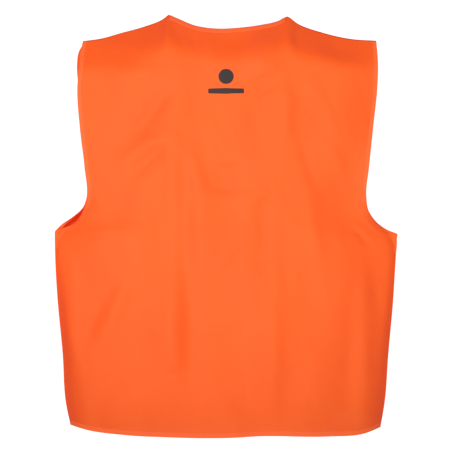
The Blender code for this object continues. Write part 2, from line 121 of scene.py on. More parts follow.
def new_group(name, inputs, outputs):
    """An empty group with (name, kind, default) inputs and (name, kind) outputs."""
    group = bpy.data.node_groups.new(name, "ShaderNodeTree")
    for label, kind, value in inputs:
        socket = group.interface.new_socket(label, in_out="INPUT", socket_type=kind)
        if value is not None:
            socket.default_value = value
    for label, kind in outputs:
        group.interface.new_socket(label, in_out="OUTPUT", socket_type=kind)
    return group, group.nodes.new("NodeGroupInput"), group.nodes.new("NodeGroupOutput")


def math_node(tree, operation, first, second=None, third=None):
    node = tree.nodes.new("ShaderNodeMath")
    node.operation = operation
    for place, value in enumerate((first, second, third)):
        if value is None:
            continue
        if isinstance(value, (int, float)):
            node.inputs[place].default_value = value
        else:
            tree.links.new(value, node.inputs[place])
    return node.outputs[0]


def noise_node(tree, vector, scale, detail=3.0, rough=0.5):
    node = tree.nodes.new("ShaderNodeTexNoise")
    node.inputs["Scale"].default_value = scale
    node.inputs["Detail"].default_value = detail
    node.inputs["Roughness"].default_value = rough
    tree.links.new(vector, node.inputs["Vector"])
    return node.outputs["Fac"]


def weave_group():
    """Plain weave: a height from crossing threads, slubs in them, and a mask of the holes between."""
    group, start, end = new_group(
        "plain_weave",
        [("Vector", "NodeSocketVector", None), ("Threads", "NodeSocketFloat", 1500.0)],
        [("Height", "NodeSocketFloat"), ("Holes", "NodeSocketFloat"), ("Slub", "NodeSocketFloat")],
    )
    vector, threads = start.outputs["Vector"], start.outputs["Threads"]
    split = group.nodes.new("ShaderNodeSeparateXYZ")
    group.links.new(vector, split.inputs[0])
    turns = math_node(group, "MULTIPLY", threads, math.pi)
    warp = math_node(group, "SINE", math_node(group, "MULTIPLY", split.outputs["X"], turns))
    weft = math_node(group, "SINE", math_node(group, "MULTIPLY", split.outputs["Y"], turns))
    over = math_node(group, "MULTIPLY", warp, weft)
    height = math_node(group, "MULTIPLY_ADD", over, 0.5, 0.5)
    wide = math_node(group, "MAXIMUM", math_node(group, "ABSOLUTE", warp), math_node(group, "ABSOLUTE", weft))
    slub = noise_node(group, vector, 420.0, 2.0)
    group.links.new(height, end.inputs["Height"])
    group.links.new(math_node(group, "SUBTRACT", 1.0, wide), end.inputs["Holes"])
    group.links.new(slub, end.inputs["Slub"])
    return group


def crumple_group():
    """Fine creases of thin cloth that was folded in a packet, as a height, and slow fading as a mask."""
    group, start, end = new_group(
        "crumple",
        [("Vector", "NodeSocketVector", None), ("Scale", "NodeSocketFloat", 40.0)],
        [("Height", "NodeSocketFloat"), ("Fade", "NodeSocketFloat")],
    )
    vector = start.outputs["Vector"]
    scaled = group.nodes.new("ShaderNodeVectorMath")
    scaled.operation = "SCALE"
    group.links.new(vector, scaled.inputs[0])
    group.links.new(start.outputs["Scale"], scaled.inputs["Scale"])
    creased = noise_node(group, scaled.outputs[0], 1.0, 4.0, 0.55)
    ridge = math_node(group, "ABSOLUTE", math_node(group, "SUBTRACT", creased, 0.5))
    group.links.new(math_node(group, "MULTIPLY", ridge, 2.0), end.inputs["Height"])
    group.links.new(noise_node(group, vector, 9.0, 2.0), end.inputs["Fade"])
    return group


def wear_group():
    """Fine scratches and rubbed patches on moulded and metal pieces."""
    group, start, end = new_group(
        "rubbed",
        [("Vector", "NodeSocketVector", None)],
        [("Mask", "NodeSocketFloat"), ("Height", "NodeSocketFloat")],
    )
    vector = start.outputs["Vector"]
    patches = noise_node(group, vector, 900.0, 4.0, 0.65)
    group.links.new(math_node(group, "POWER", patches, 2.5), end.inputs["Mask"])
    group.links.new(noise_node(group, vector, 2600.0, 2.0), end.inputs["Height"])
    return group


def group_once(name, maker):
    return bpy.data.node_groups.get(name) or maker()


def use_group(tree, group, vector, **values):
    node = tree.nodes.new("ShaderNodeGroup")
    node.node_tree = group
    tree.links.new(vector, node.inputs["Vector"])
    for label, value in values.items():
        node.inputs[label].default_value = value
    return node


def shaded(tree, colour, mask, amount):
    """The colour made darker and lighter by amount as the mask goes from 0 to 1."""
    dark = tuple(c * (1 - amount) for c in colour)
    light = tuple(min(c * (1 + amount), 1.0) for c in colour)
    return mixed(tree, mask, dark, light)


def mixed(tree, factor, first, second):
    """First and second are a socket or a colour."""
    mix = tree.nodes.new("ShaderNodeMix")
    mix.data_type = "RGBA"
    tree.links.new(factor, mix.inputs[0])
    for socket, value in ((mix.inputs[6], first), (mix.inputs[7], second)):
        if isinstance(value, tuple):
            socket.default_value = (*value, 1)
        else:
            tree.links.new(value, socket)
    return mix.outputs[2]


def deeper(colour):
    """A deeper, redder hue. Mixed in where the cloth is seen at a slant, it is painted shade for the
    turned-away sides; it is also the tint of the light through the cloth.
    """
    return (colour[0], colour[1] * 0.35, colour[2] * 0.2)


def add_bump(tree, height, strength, distance, onto=None):
    bump = tree.nodes.new("ShaderNodeBump")
    bump.inputs["Strength"].default_value = strength
    bump.inputs["Distance"].default_value = distance
    tree.links.new(height, bump.inputs["Height"])
    if onto:
        tree.links.new(onto, bump.inputs["Normal"])
    return bump.outputs["Normal"]


def blank(name):
    material = bpy.data.materials.new(name)
    material.use_nodes = True
    shader = material.node_tree.nodes["Principled BSDF"]
    coords = material.node_tree.nodes.new("ShaderNodeTexCoord")
    return material, material.node_tree, shader, coords


def lit_from_behind(tree, shader, colour):
    """Seen from inside, thin cloth also shows the light that falls on its other face."""
    through = tree.nodes.new("ShaderNodeBsdfTranslucent")
    through.inputs["Color"].default_value = (*colour, 1)
    geometry = tree.nodes.new("ShaderNodeNewGeometry")
    both = tree.nodes.new("ShaderNodeMixShader")
    tree.links.new(math_node(tree, "MULTIPLY", geometry.outputs["Backfacing"], INSIDE_GLOW), both.inputs[0])
    tree.links.new(shader.outputs[0], both.inputs[1])
    tree.links.new(through.outputs[0], both.inputs[2])
    tree.links.new(both.outputs[0], tree.nodes["Material Output"].inputs["Surface"])


def cloth_material(name, colour, threads, crease, sheen=0.03, see_through=0.0, roughness=0.62):
    """Thin woven cloth: weave and fine creases in the normal, slow fading, painted shade where it is seen at
    a slant, and light through its holes.
    """
    if name in bpy.data.materials:
        return bpy.data.materials[name]
    material, tree, shader, coords = blank(name)
    weave = use_group(tree, group_once("plain_weave", weave_group), coords.outputs["UV"], Threads=threads)
    crumple = use_group(tree, group_once("crumple", crumple_group), coords.outputs["UV"])
    fade = math_node(tree, "MULTIPLY", crumple.outputs["Fade"], 0.5)
    tone = math_node(tree, "MULTIPLY_ADD", weave.outputs["Slub"], 0.5, fade)
    # Painted shade: a deeper, redder hue mixed in by how far the cloth turns away from the view.
    facing = tree.nodes.new("ShaderNodeLayerWeight")
    facing.inputs["Blend"].default_value = 0.45
    turned = mixed(tree, facing.outputs["Facing"], shaded(tree, colour, tone, 0.16), deeper(colour))
    doubled = tree.nodes.new("ShaderNodeAttribute")
    doubled.attribute_name = "doubled"
    paler = (colour[0], colour[1] * 1.22, colour[2] + 0.016)
    tree.links.new(mixed(tree, doubled.outputs["Fac"], turned, paler), shader.inputs["Base Color"])
    rough = math_node(tree, "MULTIPLY_ADD", weave.outputs["Slub"], 0.12, roughness - 0.06)
    tree.links.new(rough, shader.inputs["Roughness"])
    fine = add_bump(tree, weave.outputs["Height"], 0.6, 0.2 * MM)
    tree.links.new(add_bump(tree, crumple.outputs["Height"], crease, 1.2 * MM, fine), shader.inputs["Normal"])
    if see_through:
        open_share = math_node(tree, "MULTIPLY_ADD", doubled.outputs["Fac"], -0.7 * see_through, see_through)
        holes = math_node(tree, "MULTIPLY_ADD", weave.outputs["Holes"], 2.0, 0.4)
        opened = math_node(tree, "MULTIPLY", open_share, holes)
        tree.links.new(math_node(tree, "SUBTRACT", 1.0, opened), shader.inputs["Alpha"])
        lit_from_behind(tree, shader, deeper(colour))
    shader.inputs["Sheen Weight"].default_value = sheen
    shader.inputs["Sheen Roughness"].default_value = 0.5
    shader.inputs["Specular IOR Level"].default_value = 0.34
    return material


def hard_material(name, colour, roughness, metallic=0.0):
    """Moulded plastic or enamelled metal, rubbed a little."""
    if name in bpy.data.materials:
        return bpy.data.materials[name]
    material, tree, shader, coords = blank(name)
    rubbed = use_group(tree, group_once("rubbed", wear_group), coords.outputs["Object"])
    tree.links.new(shaded(tree, colour, rubbed.outputs["Mask"], 0.3), shader.inputs["Base Color"])
    rough = math_node(tree, "MULTIPLY_ADD", rubbed.outputs["Mask"], 0.25, roughness - 0.05)
    tree.links.new(rough, shader.inputs["Roughness"])
    tree.links.new(add_bump(tree, rubbed.outputs["Height"], 0.15, 0.05 * MM), shader.inputs["Normal"])
    shader.inputs["Metallic"].default_value = metallic
    return material


def vest_cloth():
    return cloth_material("blaze_polyester", tuple(colours().cloth), 1500.0, 0.35, see_through=0.004)


def hem_cloth():
    return cloth_material("blaze_hem", tuple(c * 0.97 for c in colours().cloth), 1500.0, 0.25)


def band_cloth():
    return cloth_material("neck_knit", tuple(colours().band), 900.0, 0.15, sheen=0.2)


def tape_cloth():
    return cloth_material("zip_tape_weave", tuple(colours().tape), 1100.0, 0.05)


def thread_cloth():
    return cloth_material("sewing_thread", tuple(colours().thread), 2600.0, 0.05, sheen=0.25)


def label_cloth():
    return cloth_material("label_satin", tuple(colours().label), 2200.0, 0.05, sheen=0.3, roughness=0.5)


def ink_print():
    return cloth_material("screen_ink", tuple(colours().ink), 1500.0, 0.2, sheen=0.0, roughness=0.6)


# ---------------------------------------------------------------- grids of points


def through(points, shares):
    """A smooth curve through the points, read at shares of its length."""
    points = np.array(points, float)
    steps = np.concatenate([[0], np.cumsum(np.linalg.norm(np.diff(points, axis=0), axis=1))])
    slopes = np.gradient(points, steps, axis=0)
    at = np.clip(np.asarray(shares, float), 0, 1) * steps[-1]
    i = np.clip(np.searchsorted(steps, at, side="right") - 1, 0, len(points) - 2)
    span = (steps[i + 1] - steps[i])[:, None]
    t = ((at - steps[i])[:, None]) / span
    return (
        (2 * t**3 - 3 * t**2 + 1) * points[i]
        + (t**3 - 2 * t**2 + t) * span * slopes[i]
        + (3 * t**2 - 2 * t**3) * points[i + 1]
        + (t**3 - t**2) * span * slopes[i + 1]
    )


def ease(low, high, value):
    t = np.clip((value - low) / (high - low), 0, 1)
    return t * t * (3 - 2 * t)


def patch(top, foot, left, right, u, v):
    """Points between four edges, given at u across and v down. The corners have to meet."""
    across, down = u[None, :, None], v[:, None, None]
    corners = (
        (1 - across) * (1 - down) * top[0]
        + across * (1 - down) * top[-1]
        + (1 - across) * down * foot[0]
        + across * down * foot[-1]
    )
    return (
        (1 - down) * top[None]
        + down * foot[None]
        + (1 - across) * left[:, None]
        + across * right[:, None]
        - corners
    )


def shares_of(length, cell, near_start=0.0, near_end=0.0, fine=1.2 * MM):
    """Shares from 0 to 1 about a cell apart, finer within the given widths of each end."""
    begin = np.arange(0, near_start - fine / 2, fine) if near_start else np.array([0.0])
    finish = length - np.arange(0, near_end - fine / 2, fine)[::-1] if near_end else np.array([length])
    low = near_start if near_start else 0.0
    high = length - near_end
    middle = np.linspace(low, high, max(int((high - low) / cell), 2) + 1)
    if not near_start:
        middle = middle[1:]
    if not near_end:
        middle = middle[:-1]
    return np.concatenate([begin, middle, finish]) / length


def bent_line(start, bend, end, shares):
    """Points of a parabola that leaves start and reaches end aiming at bend."""
    t = np.asarray(shares)[:, None]
    return (1 - t) ** 2 * np.array(start) + 2 * t * (1 - t) * np.array(bend) + t * t * np.array(end)


def fold_heights(x, z, folds, spread):
    """The folds' heights added up. A fold is a start, a point that bends it, an end, a width and a height."""
    total = np.zeros_like(x)
    parts = 14
    for start, bend, end, wide, tall in folds:
        line = bent_line(start, bend, end, np.linspace(0, 1, parts + 1))
        closest = np.full(x.shape, 1e9)
        along = np.zeros_like(x)
        for k, ((px, pz), (dx, dz)) in enumerate(zip(line, np.diff(line, axis=0))):
            s = np.clip(((x - px) * dx + (z - pz) * dz) / (dx * dx + dz * dz), 0, 1)
            away = np.hypot(x - px - s * dx, z - pz - s * dz)
            closer = away < closest
            closest = np.where(closer, away, closest)
            along = np.where(closer, (k + s) / parts, along)
        taper = ease(0, 0.3, along) * ease(0, 0.3, 1 - along) * 0.85 + 0.15
        total += tall * MM * taper * np.exp(-((closest / (wide * spread * MM)) ** 2))
    return total


def ripples(x, z, seed, height, short, tall, count=9):
    """Uneven shallow waves, steeper across the cloth than down it."""
    random = np.random.default_rng(seed)
    total = np.zeros_like(x)
    for _ in range(count):
        wave = 2 * np.pi / random.uniform(short, 2.5 * short)
        drift = 2 * np.pi / random.uniform(tall, 2.5 * tall) * random.choice([-1, 1])
        bend = random.uniform(0.2, 0.9) * np.sin(z * random.uniform(6, 14) + random.uniform(0, 6))
        total += np.sin(wave * x + drift * z + bend + random.uniform(0, 2 * np.pi)) / count**0.5
    return height * total


# ---------------------------------------------------------------- meshes


def placed(name, mesh, material):
    """A smooth-shaded piece of one material, put in the scene."""
    mesh.polygons.foreach_set("use_smooth", [True] * len(mesh.polygons))
    mesh.materials.append(material)
    piece = bpy.data.objects.new(name, mesh)
    bpy.context.collection.objects.link(piece)
    return piece


def quads_over(rows, columns, base=0):
    """The four-sided faces of a grid of points, as a rows by columns by 4 array."""
    index = base + np.arange(rows * columns).reshape(rows, columns)
    return np.stack([index[:-1, :-1], index[1:, :-1], index[1:, 1:], index[:-1, 1:]], -1)


def grid_mesh(name, points, material, thick=0.0, turn=False, doubled=None):
    """A sheet from a rows by columns by 3 array, with its own sizes in metres as UV coordinates."""
    quads = quads_over(*points.shape[:2]).reshape(-1, 4)
    if turn:
        quads = quads[:, ::-1]
    across = np.linalg.norm(np.diff(points, axis=1), axis=2).mean(axis=0)
    down = np.linalg.norm(np.diff(points, axis=0), axis=2).mean(axis=1)
    u = np.concatenate([[0], np.cumsum(across)])
    v = np.concatenate([[0], np.cumsum(down)])
    mesh = bpy.data.meshes.new(name)
    mesh.from_pydata(points.reshape(-1, 3).tolist(), [], quads.tolist())
    layer = mesh.uv_layers.new(name="cloth")
    uv = np.stack(np.broadcast_arrays(u[None, :], v[:, None]), -1).reshape(-1, 2)
    layer.data.foreach_set("uv", uv[quads.reshape(-1)].astype(np.float32).ravel())
    if doubled is not None:
        marked = mesh.attributes.new("doubled", "FLOAT", "POINT")
        marked.data.foreach_set("value", doubled.astype(np.float32).ravel())
    piece = placed(name, mesh, material)
    if thick:
        solid = piece.modifiers.new("thickness", "SOLIDIFY")
        solid.thickness = thick
        solid.offset = 0
    return piece


def normals_of(points):
    """Unit normals of a grid: across its columns by down its rows."""
    across = np.gradient(points, axis=1)
    down = np.gradient(points, axis=0)
    out = np.cross(across, down)
    return out / np.maximum(np.linalg.norm(out, axis=2, keepdims=True), 1e-12)


def mesh_of(name, vertices, faces, material):
    mesh = bpy.data.meshes.new(name)
    mesh.from_pydata(vertices, [], faces)
    return placed(name, mesh, material)


def stitches(name, lines):
    """Raised stitches along lines of (points, outward normals); each stitch is a spindle of thread."""
    long, radius = sizes().stitch_long, sizes().thread
    rings = ((0.0, 0.35, -0.6), (0.22, 1.0, 0.1), (0.5, 1.15, 0.45), (0.78, 1.0, 0.1), (1.0, 0.35, -0.6))
    around = 5
    vertices, faces = [], []
    for points, outward in lines:
        steps = np.concatenate([[0], np.cumsum(np.linalg.norm(np.diff(points, axis=0), axis=1))])
        count = int(steps[-1] / (long * 1.25))
        for i in range(count):
            ends = (np.array([0.04, 0.5, 0.96]) + i) * steps[-1] / count
            place = np.stack([np.interp(ends, steps, points[:, k]) for k in range(3)], 1)
            out = np.array([np.interp(ends[1], steps, outward[:, k]) for k in range(3)])
            ahead = place[2] - place[0]
            ahead /= max(np.linalg.norm(ahead), 1e-9)
            side = np.cross(ahead, out)
            side /= max(np.linalg.norm(side), 1e-9)
            base = len(vertices)
            for share, fat, rise in rings:
                middle = place[0] + (place[2] - place[0]) * share + out * radius * rise
                for turn in np.arange(around) * 2 * math.pi / around:
                    outwards = side * math.cos(turn) + out * math.sin(turn)
                    vertices.append(tuple(middle + radius * fat * outwards))
            for r in range(len(rings) - 1):
                low = base + around * r
                for a in range(around):
                    b = (a + 1) % around
                    faces.append((low + a, low + b, low + around + b, low + around + a))
            faces.append(tuple(base + a for a in range(around))[::-1])
            faces.append(tuple(base + around * (len(rings) - 1) + a for a in range(around)))
    sewn = mesh_of(name, vertices, faces, thread_cloth())
    box_uv(sewn)
    return sewn


def box_uv(obj):
    """UV coordinates in metres, straight from X and Z."""
    mesh = obj.data
    layer = mesh.uv_layers.new(name="cloth")
    for loop in mesh.loops:
        place = mesh.vertices[loop.vertex_index].co
        layer.data[loop.index].uv = (place.x + place.y, place.z)


def tree_of(*grids):
    """A search tree over grids of points, for laying things on them."""
    vertices, faces = [], []
    for points in grids:
        faces += quads_over(*points.shape[:2], len(vertices)).reshape(-1, 4).tolist()
        vertices += [Vector(p) for p in points.reshape(-1, 3)]
    return BVHTree.FromPolygons(vertices, faces)


def laid_on(tree, x, z, from_y, distance=0.0):
    """The cloth's point seen from from_y at that x and z, moved off it by distance."""
    towards = Vector((0, 1 if from_y < 0 else -1, 0))
    hit, normal, _, _ = tree.ray_cast(Vector((x, from_y, z)), towards)
    if hit is None:
        hit, normal, _, _ = tree.find_nearest(Vector((x, 0.0, z)))
    if normal.dot(towards) > 0:
        normal = -normal
    return hit + normal * distance, normal


def laid_grid(tree, x, z, from_y, distance):
    """The cloth's points seen from from_y at a grid of x and z."""
    places = [laid_on(tree, *xz, from_y, distance)[0] for xz in zip(x.ravel(), z.ravel())]
    return np.array(places).reshape(*x.shape, 3)


# ---------------------------------------------------------------- the vest's lines

# Outlines of the back as it hangs, as (x, z): the top from the left tip, each side down, and the hem.
BACK_TOP = [
    (-0.2400, -0.0436), (-0.2087, -0.0396), (-0.1766, -0.0302), (-0.1376, -0.0196), (-0.1060, -0.0070),
    (-0.0964, 0.0), (-0.0860, -0.0040), (-0.0528, -0.0177), (-0.0220, -0.0226), (0.0264, -0.0208),
    (0.0553, -0.0167), (0.0842, -0.0100), (0.1000, -0.0030), (0.1170, -0.0145), (0.1580, -0.0295),
    (0.2080, -0.0406), (0.2485, -0.0432),
]  # fmt: skip
BACK_LEFT_ARM = [
    (-0.2400, -0.0436), (-0.2432, -0.0600), (-0.2450, -0.0850), (-0.2478, -0.1140), (-0.2435, -0.1900),
    (-0.2363, -0.2510), (-0.2328, -0.3020), (-0.2384, -0.3234), (-0.2530, -0.3440), (-0.2708, -0.3530),
    (-0.2863, -0.3590),
]  # fmt: skip
LEFT_SIDE = [
    (-0.2863, -0.3590), (-0.2855, -0.4030), (-0.2825, -0.4600), (-0.2730, -0.5640), (-0.2675, -0.6450),
]  # fmt: skip
BACK_RIGHT_ARM = [
    (0.2485, -0.0432), (0.2505, -0.0760), (0.2497, -0.1140), (0.2420, -0.1900), (0.2355, -0.2510),
    (0.2310, -0.3010), (0.2345, -0.3230), (0.2480, -0.3430), (0.2640, -0.3550), (0.2835, -0.3630),
]  # fmt: skip
RIGHT_SIDE = [
    (0.2835, -0.3630), (0.2824, -0.3723), (0.2822, -0.3827), (0.2812, -0.3930), (0.2798, -0.4137),
    (0.2762, -0.4720), (0.2680, -0.5640), (0.2617, -0.6450),
]  # fmt: skip
BACK_HEM = [
    (-0.2602, -0.6800), (-0.2260, -0.6885), (-0.1680, -0.6947), (-0.0970, -0.6983), (0.0, -0.6990),
    (0.0560, -0.6963), (0.1670, -0.6972), (0.2240, -0.6940), (0.2550, -0.6840),
]  # fmt: skip
SEAM_Y = -0.008
ROLL = 0.070  # height over which the neck's set fades out
SHOULDER_DEEP = 0.046  # height over which the cloth turns down from the shoulder seams
SIDE_ROUND = 0.72  # 1 is a lens across the vest, and less is fuller towards its sides
BACK_TOP_Y, BACK_LOW_Y = -0.043, -0.064
ARM_EDGE_Y = -0.024
NECK_SET = 0.012  # how far the neck stands out behind the shoulders
NECK_X = 0.098
TIP_Z, CORNER_Z = -0.044, -0.683
UNDERARM_Z = -0.360

# The fronts: the shoulder edge, the outer edge and the hem of each, and the line of the zip between them.
LEFT_SHOULDER = [
    (-0.0964, 0.0), (-0.1060, -0.0075), (-0.1376, -0.0205), (-0.1964, -0.0370), (-0.2400, -0.0460),
]  # fmt: skip
RIGHT_SHOULDER = [
    (0.1000, -0.0030), (0.1170, -0.0150), (0.1580, -0.0300), (0.2080, -0.0410), (0.2470, -0.0440),
]  # fmt: skip
LEFT_ARM = [
    (-0.2400, -0.0460), (-0.2478, -0.0610), (-0.2502, -0.0800), (-0.2485, -0.1140), (-0.2425, -0.1900),
    (-0.2350, -0.2600), (-0.2332, -0.2950), (-0.2400, -0.3190), (-0.2590, -0.3366), (-0.2740, -0.3470),
    (-0.2863, -0.3590),
]  # fmt: skip
RIGHT_ARM = [
    (0.2470, -0.0440), (0.2485, -0.0800), (0.2470, -0.1400), (0.2385, -0.1900), (0.2277, -0.2200),
    (0.2195, -0.2490), (0.2130, -0.2740), (0.2124, -0.2987), (0.2215, -0.3200), (0.2400, -0.3430),
    (0.2640, -0.3560), (0.2835, -0.3630),
]  # fmt: skip
LEFT_HEM_END = [(-0.1500, -0.6870), (-0.2200, -0.6860), (-0.2602, -0.6800)]
RIGHT_HEM_END = [
    (0.1000, -0.6880), (0.1640, -0.6865), (0.1770, -0.6790), (0.1820, -0.6640), (0.1960, -0.6610),
    (0.2250, -0.6670), (0.2568, -0.6740),
]  # fmt: skip
FRONT_OUTLINES = {
    -1: (LEFT_SHOULDER, LEFT_ARM, LEFT_SIDE, LEFT_HEM_END),
    1: (RIGHT_SHOULDER, RIGHT_ARM, RIGHT_SIDE, RIGHT_HEM_END),
}
FRONT_Y, FRONT_LEAN = 0.014, 0.0565
FOLD_LOW_X = 0.215
CLOSURE_X = (0.015, 0.034)
V_Z, FRONT_HEM_Z = -0.1165, -0.688
V_PULL = (0.059, -0.090)
CLOTH_TO_ZIP = 5.5 * MM
RIGHT_HALF_AWAY = 4.6 * MM
POCKET_WIDE, POCKET_TALL, POCKET_DEEP, POCKET_HEM = 0.124, 0.182, 13 * MM, 12 * MM
POCKET_TOP_Z, POCKET_TO_ZIP = -0.505, 14 * MM

# Folds: start, bend and end as (x, z), then width and height in millimetres. The back's rise towards -Y.
BACK_FOLDS = [
    ((-0.091, -0.165), (-0.089, -0.400), (-0.092, -0.672), 10, 4.0),
    ((-0.072, -0.190), (-0.064, -0.400), (-0.056, -0.692), 9, -3.6),
    ((0.078, -0.290), (0.081, -0.480), (0.076, -0.690), 9, 3.8),
    ((0.060, -0.290), (0.061, -0.340), (0.062, -0.400), 8, -3.0),
    ((0.096, -0.105), (0.098, -0.170), (0.096, -0.230), 9, 3.0),
    ((0.124, -0.080), (0.166, -0.180), (0.199, -0.290), 10, 4.0),
    ((0.129, -0.130), (0.163, -0.190), (0.196, -0.245), 8, -3.6),
    ((0.122, -0.205), (0.133, -0.250), (0.143, -0.290), 7, -2.8),
    ((0.122, -0.222), (0.144, -0.360), (0.171, -0.530), 9, 3.4),
    ((-0.089, -0.110), (-0.120, -0.165), (-0.164, -0.208), 8, -3.6),
    ((-0.096, -0.200), (-0.150, -0.215), (-0.190, -0.266), 9, 3.8),
    ((-0.098, -0.215), (-0.130, -0.238), (-0.157, -0.272), 7, -3.0),
    ((-0.037, -0.146), (-0.024, -0.218), (0.006, -0.233), 8, 3.0),
    ((0.000, -0.240), (0.002, -0.272), (0.000, -0.305), 19, -4.0),
    ((-0.062, -0.210), (-0.056, -0.262), (-0.034, -0.310), 8, 2.8),
    ((0.072, -0.288), (0.056, -0.302), (0.030, -0.308), 8, 2.4),
    ((0.034, -0.070), (0.060, -0.088), (0.088, -0.092), 10, 2.4),
    ((0.052, -0.100), (0.062, -0.118), (0.072, -0.132), 13, -3.0),
    ((-0.017, -0.420), (0.010, -0.400), (0.034, -0.385), 2.6, 1.9),
    ((0.037, -0.433), (0.055, -0.420), (0.075, -0.408), 2.6, 1.8),
    ((0.098, -0.443), (0.110, -0.437), (0.121, -0.430), 2.6, 1.7),
    ((-0.062, -0.525), (-0.020, -0.527), (0.030, -0.526), 4, -1.1),
    ((-0.107, -0.592), (-0.085, -0.594), (-0.064, -0.592), 4, -1.1),
    ((-0.195, -0.611), (-0.176, -0.613), (-0.158, -0.612), 4, -1.1),
    ((-0.192, -0.622), (-0.190, -0.655), (-0.188, -0.695), 11, 3.0),
    ((0.006, -0.628), (0.021, -0.662), (0.037, -0.630), 9, -2.6),
    ((-0.155, -0.418), (-0.190, -0.500), (-0.240, -0.598), 11, 4.0),
    ((-0.176, -0.430), (-0.210, -0.490), (-0.246, -0.545), 9, -2.6),
    ((0.226, -0.378), (0.230, -0.520), (0.224, -0.690), 10, 3.6),
    ((0.205, -0.420), (0.207, -0.540), (0.200, -0.680), 10, -2.6),
    ((0.208, -0.343), (0.222, -0.352), (0.238, -0.372), 4, 1.8),
    ((0.214, -0.356), (0.224, -0.366), (0.236, -0.386), 4, -1.6),
    ((-0.212, -0.100), (-0.150, -0.102), (-0.092, -0.092), 11, 3.0),
    ((-0.196, -0.074), (-0.165, -0.070), (-0.133, -0.068), 10, -2.6),
    ((0.130, -0.062), (0.180, -0.080), (0.226, -0.086), 11, 2.0),
    ((-0.225, -0.300), (-0.190, -0.330), (-0.150, -0.390), 8, 2.0),
    ((-0.262, -0.380), (-0.250, -0.480), (-0.246, -0.640), 8, 2.2),
]
# Given for the right front; the left mirrors them and is shifted. They rise towards +Y.
FRONT_FOLDS = [
    ((0.108, -0.030), (0.100, -0.200), (0.084, -0.480), 11, 4.0),
    ((0.126, -0.060), (0.124, -0.200), (0.110, -0.420), 9, -3.4),
    ((0.148, -0.045), (0.152, -0.240), (0.142, -0.470), 12, 4.0),
    ((0.172, -0.080), (0.174, -0.250), (0.180, -0.440), 9, -3.2),
    ((0.198, -0.060), (0.196, -0.200), (0.222, -0.345), 10, 3.6),
    ((0.062, -0.130), (0.064, -0.300), (0.056, -0.480), 10, 2.2),
    ((0.240, -0.372), (0.214, -0.440), (0.186, -0.500), 8, 3.0),
    ((0.240, -0.430), (0.238, -0.550), (0.236, -0.650), 9, 3.4),
    ((0.207, -0.470), (0.204, -0.580), (0.200, -0.670), 9, -3.0),
    ((0.070, -0.240), (0.098, -0.250), (0.128, -0.238), 5, 1.4),
    ((0.050, -0.395), (0.080, -0.405), (0.116, -0.392), 5, -1.3),
]

MADE = {}  # grids of points that later pieces are laid on, by name


def made(name):
    if name not in MADE:
        raise RuntimeError(f"{name} has to be made first")
    return MADE[name]


def line_at(points, shares):
    """(x, z) at even shares of X along a smooth line that runs one way in X."""
    dense = through(points, np.linspace(0, 1, 400))
    x = points[0][0] + (points[-1][0] - points[0][0]) * np.asarray(shares)
    order = np.argsort(dense[:, 0])
    return np.stack([x, np.interp(x, dense[order, 0], dense[order, 1])], 1)


def stepped(points, shares):
    """Points at shares of the length of a line with corners."""
    points = np.array(points, float)
    steps = np.concatenate([[0], np.cumsum(np.linalg.norm(np.diff(points, axis=0), axis=1))])
    at = np.asarray(shares) * steps[-1]
    return np.stack([np.interp(at, steps, points[:, k]) for k in range(2)], 1)


def sewn_edge(away, along, wide, seed):
    """Height of a turned edge: thicker up to its stitches, which press a groove and gather it a little."""
    line = wide - STITCH_IN
    raised = 0.35 * MM * (1 - ease(line, line + 1.5 * MM, away))
    groove = 0.22 * MM * np.exp(-(((away - line) / (1.2 * MM)) ** 2))
    uneven = 1.8 * np.sin(along * np.random.default_rng(seed).uniform(40, 60))
    gathers = np.sin(2 * np.pi * along / (8.5 * MM) + uneven) * np.exp(-(((away - line) / (5 * MM)) ** 2))
    return raised - groove + 0.28 * MM * gathers


def turned_share(away, wide):
    """1 where the cloth is doubled by its turned edge, 0 beyond the stitches."""
    return 1 - ease(wide - STITCH_IN, wide, away)


def cornered(parts, shares):
    """Points along smooth lines that meet at corners."""
    return stepped(np.concatenate([through(part, np.linspace(0, 1, 150)) for part in parts]), shares)


def evened(values, places, reach=0.030):
    """Values averaged with their neighbours within about the given reach."""
    near = np.exp(-(((places[:, None] - places[None, :]) / reach) ** 2))
    weight = np.abs(near * np.gradient(np.abs(places))[None, :])
    return weight @ values / weight.sum(axis=1)


def to_seam(away, closed):
    """0 on a side seam, rising steeply to 1 within 14 mm of it; 1 everywhere beside the armholes."""
    near = np.clip(away / (14 * MM), 0, 1)
    return 1 - closed * (1 - np.sqrt(1 - (1 - near) ** 2))


def closed_share(z):
    """0 beside the armholes, 1 where the side seams close the vest."""
    return ease(0.27, -UNDERARM_Z, -z)


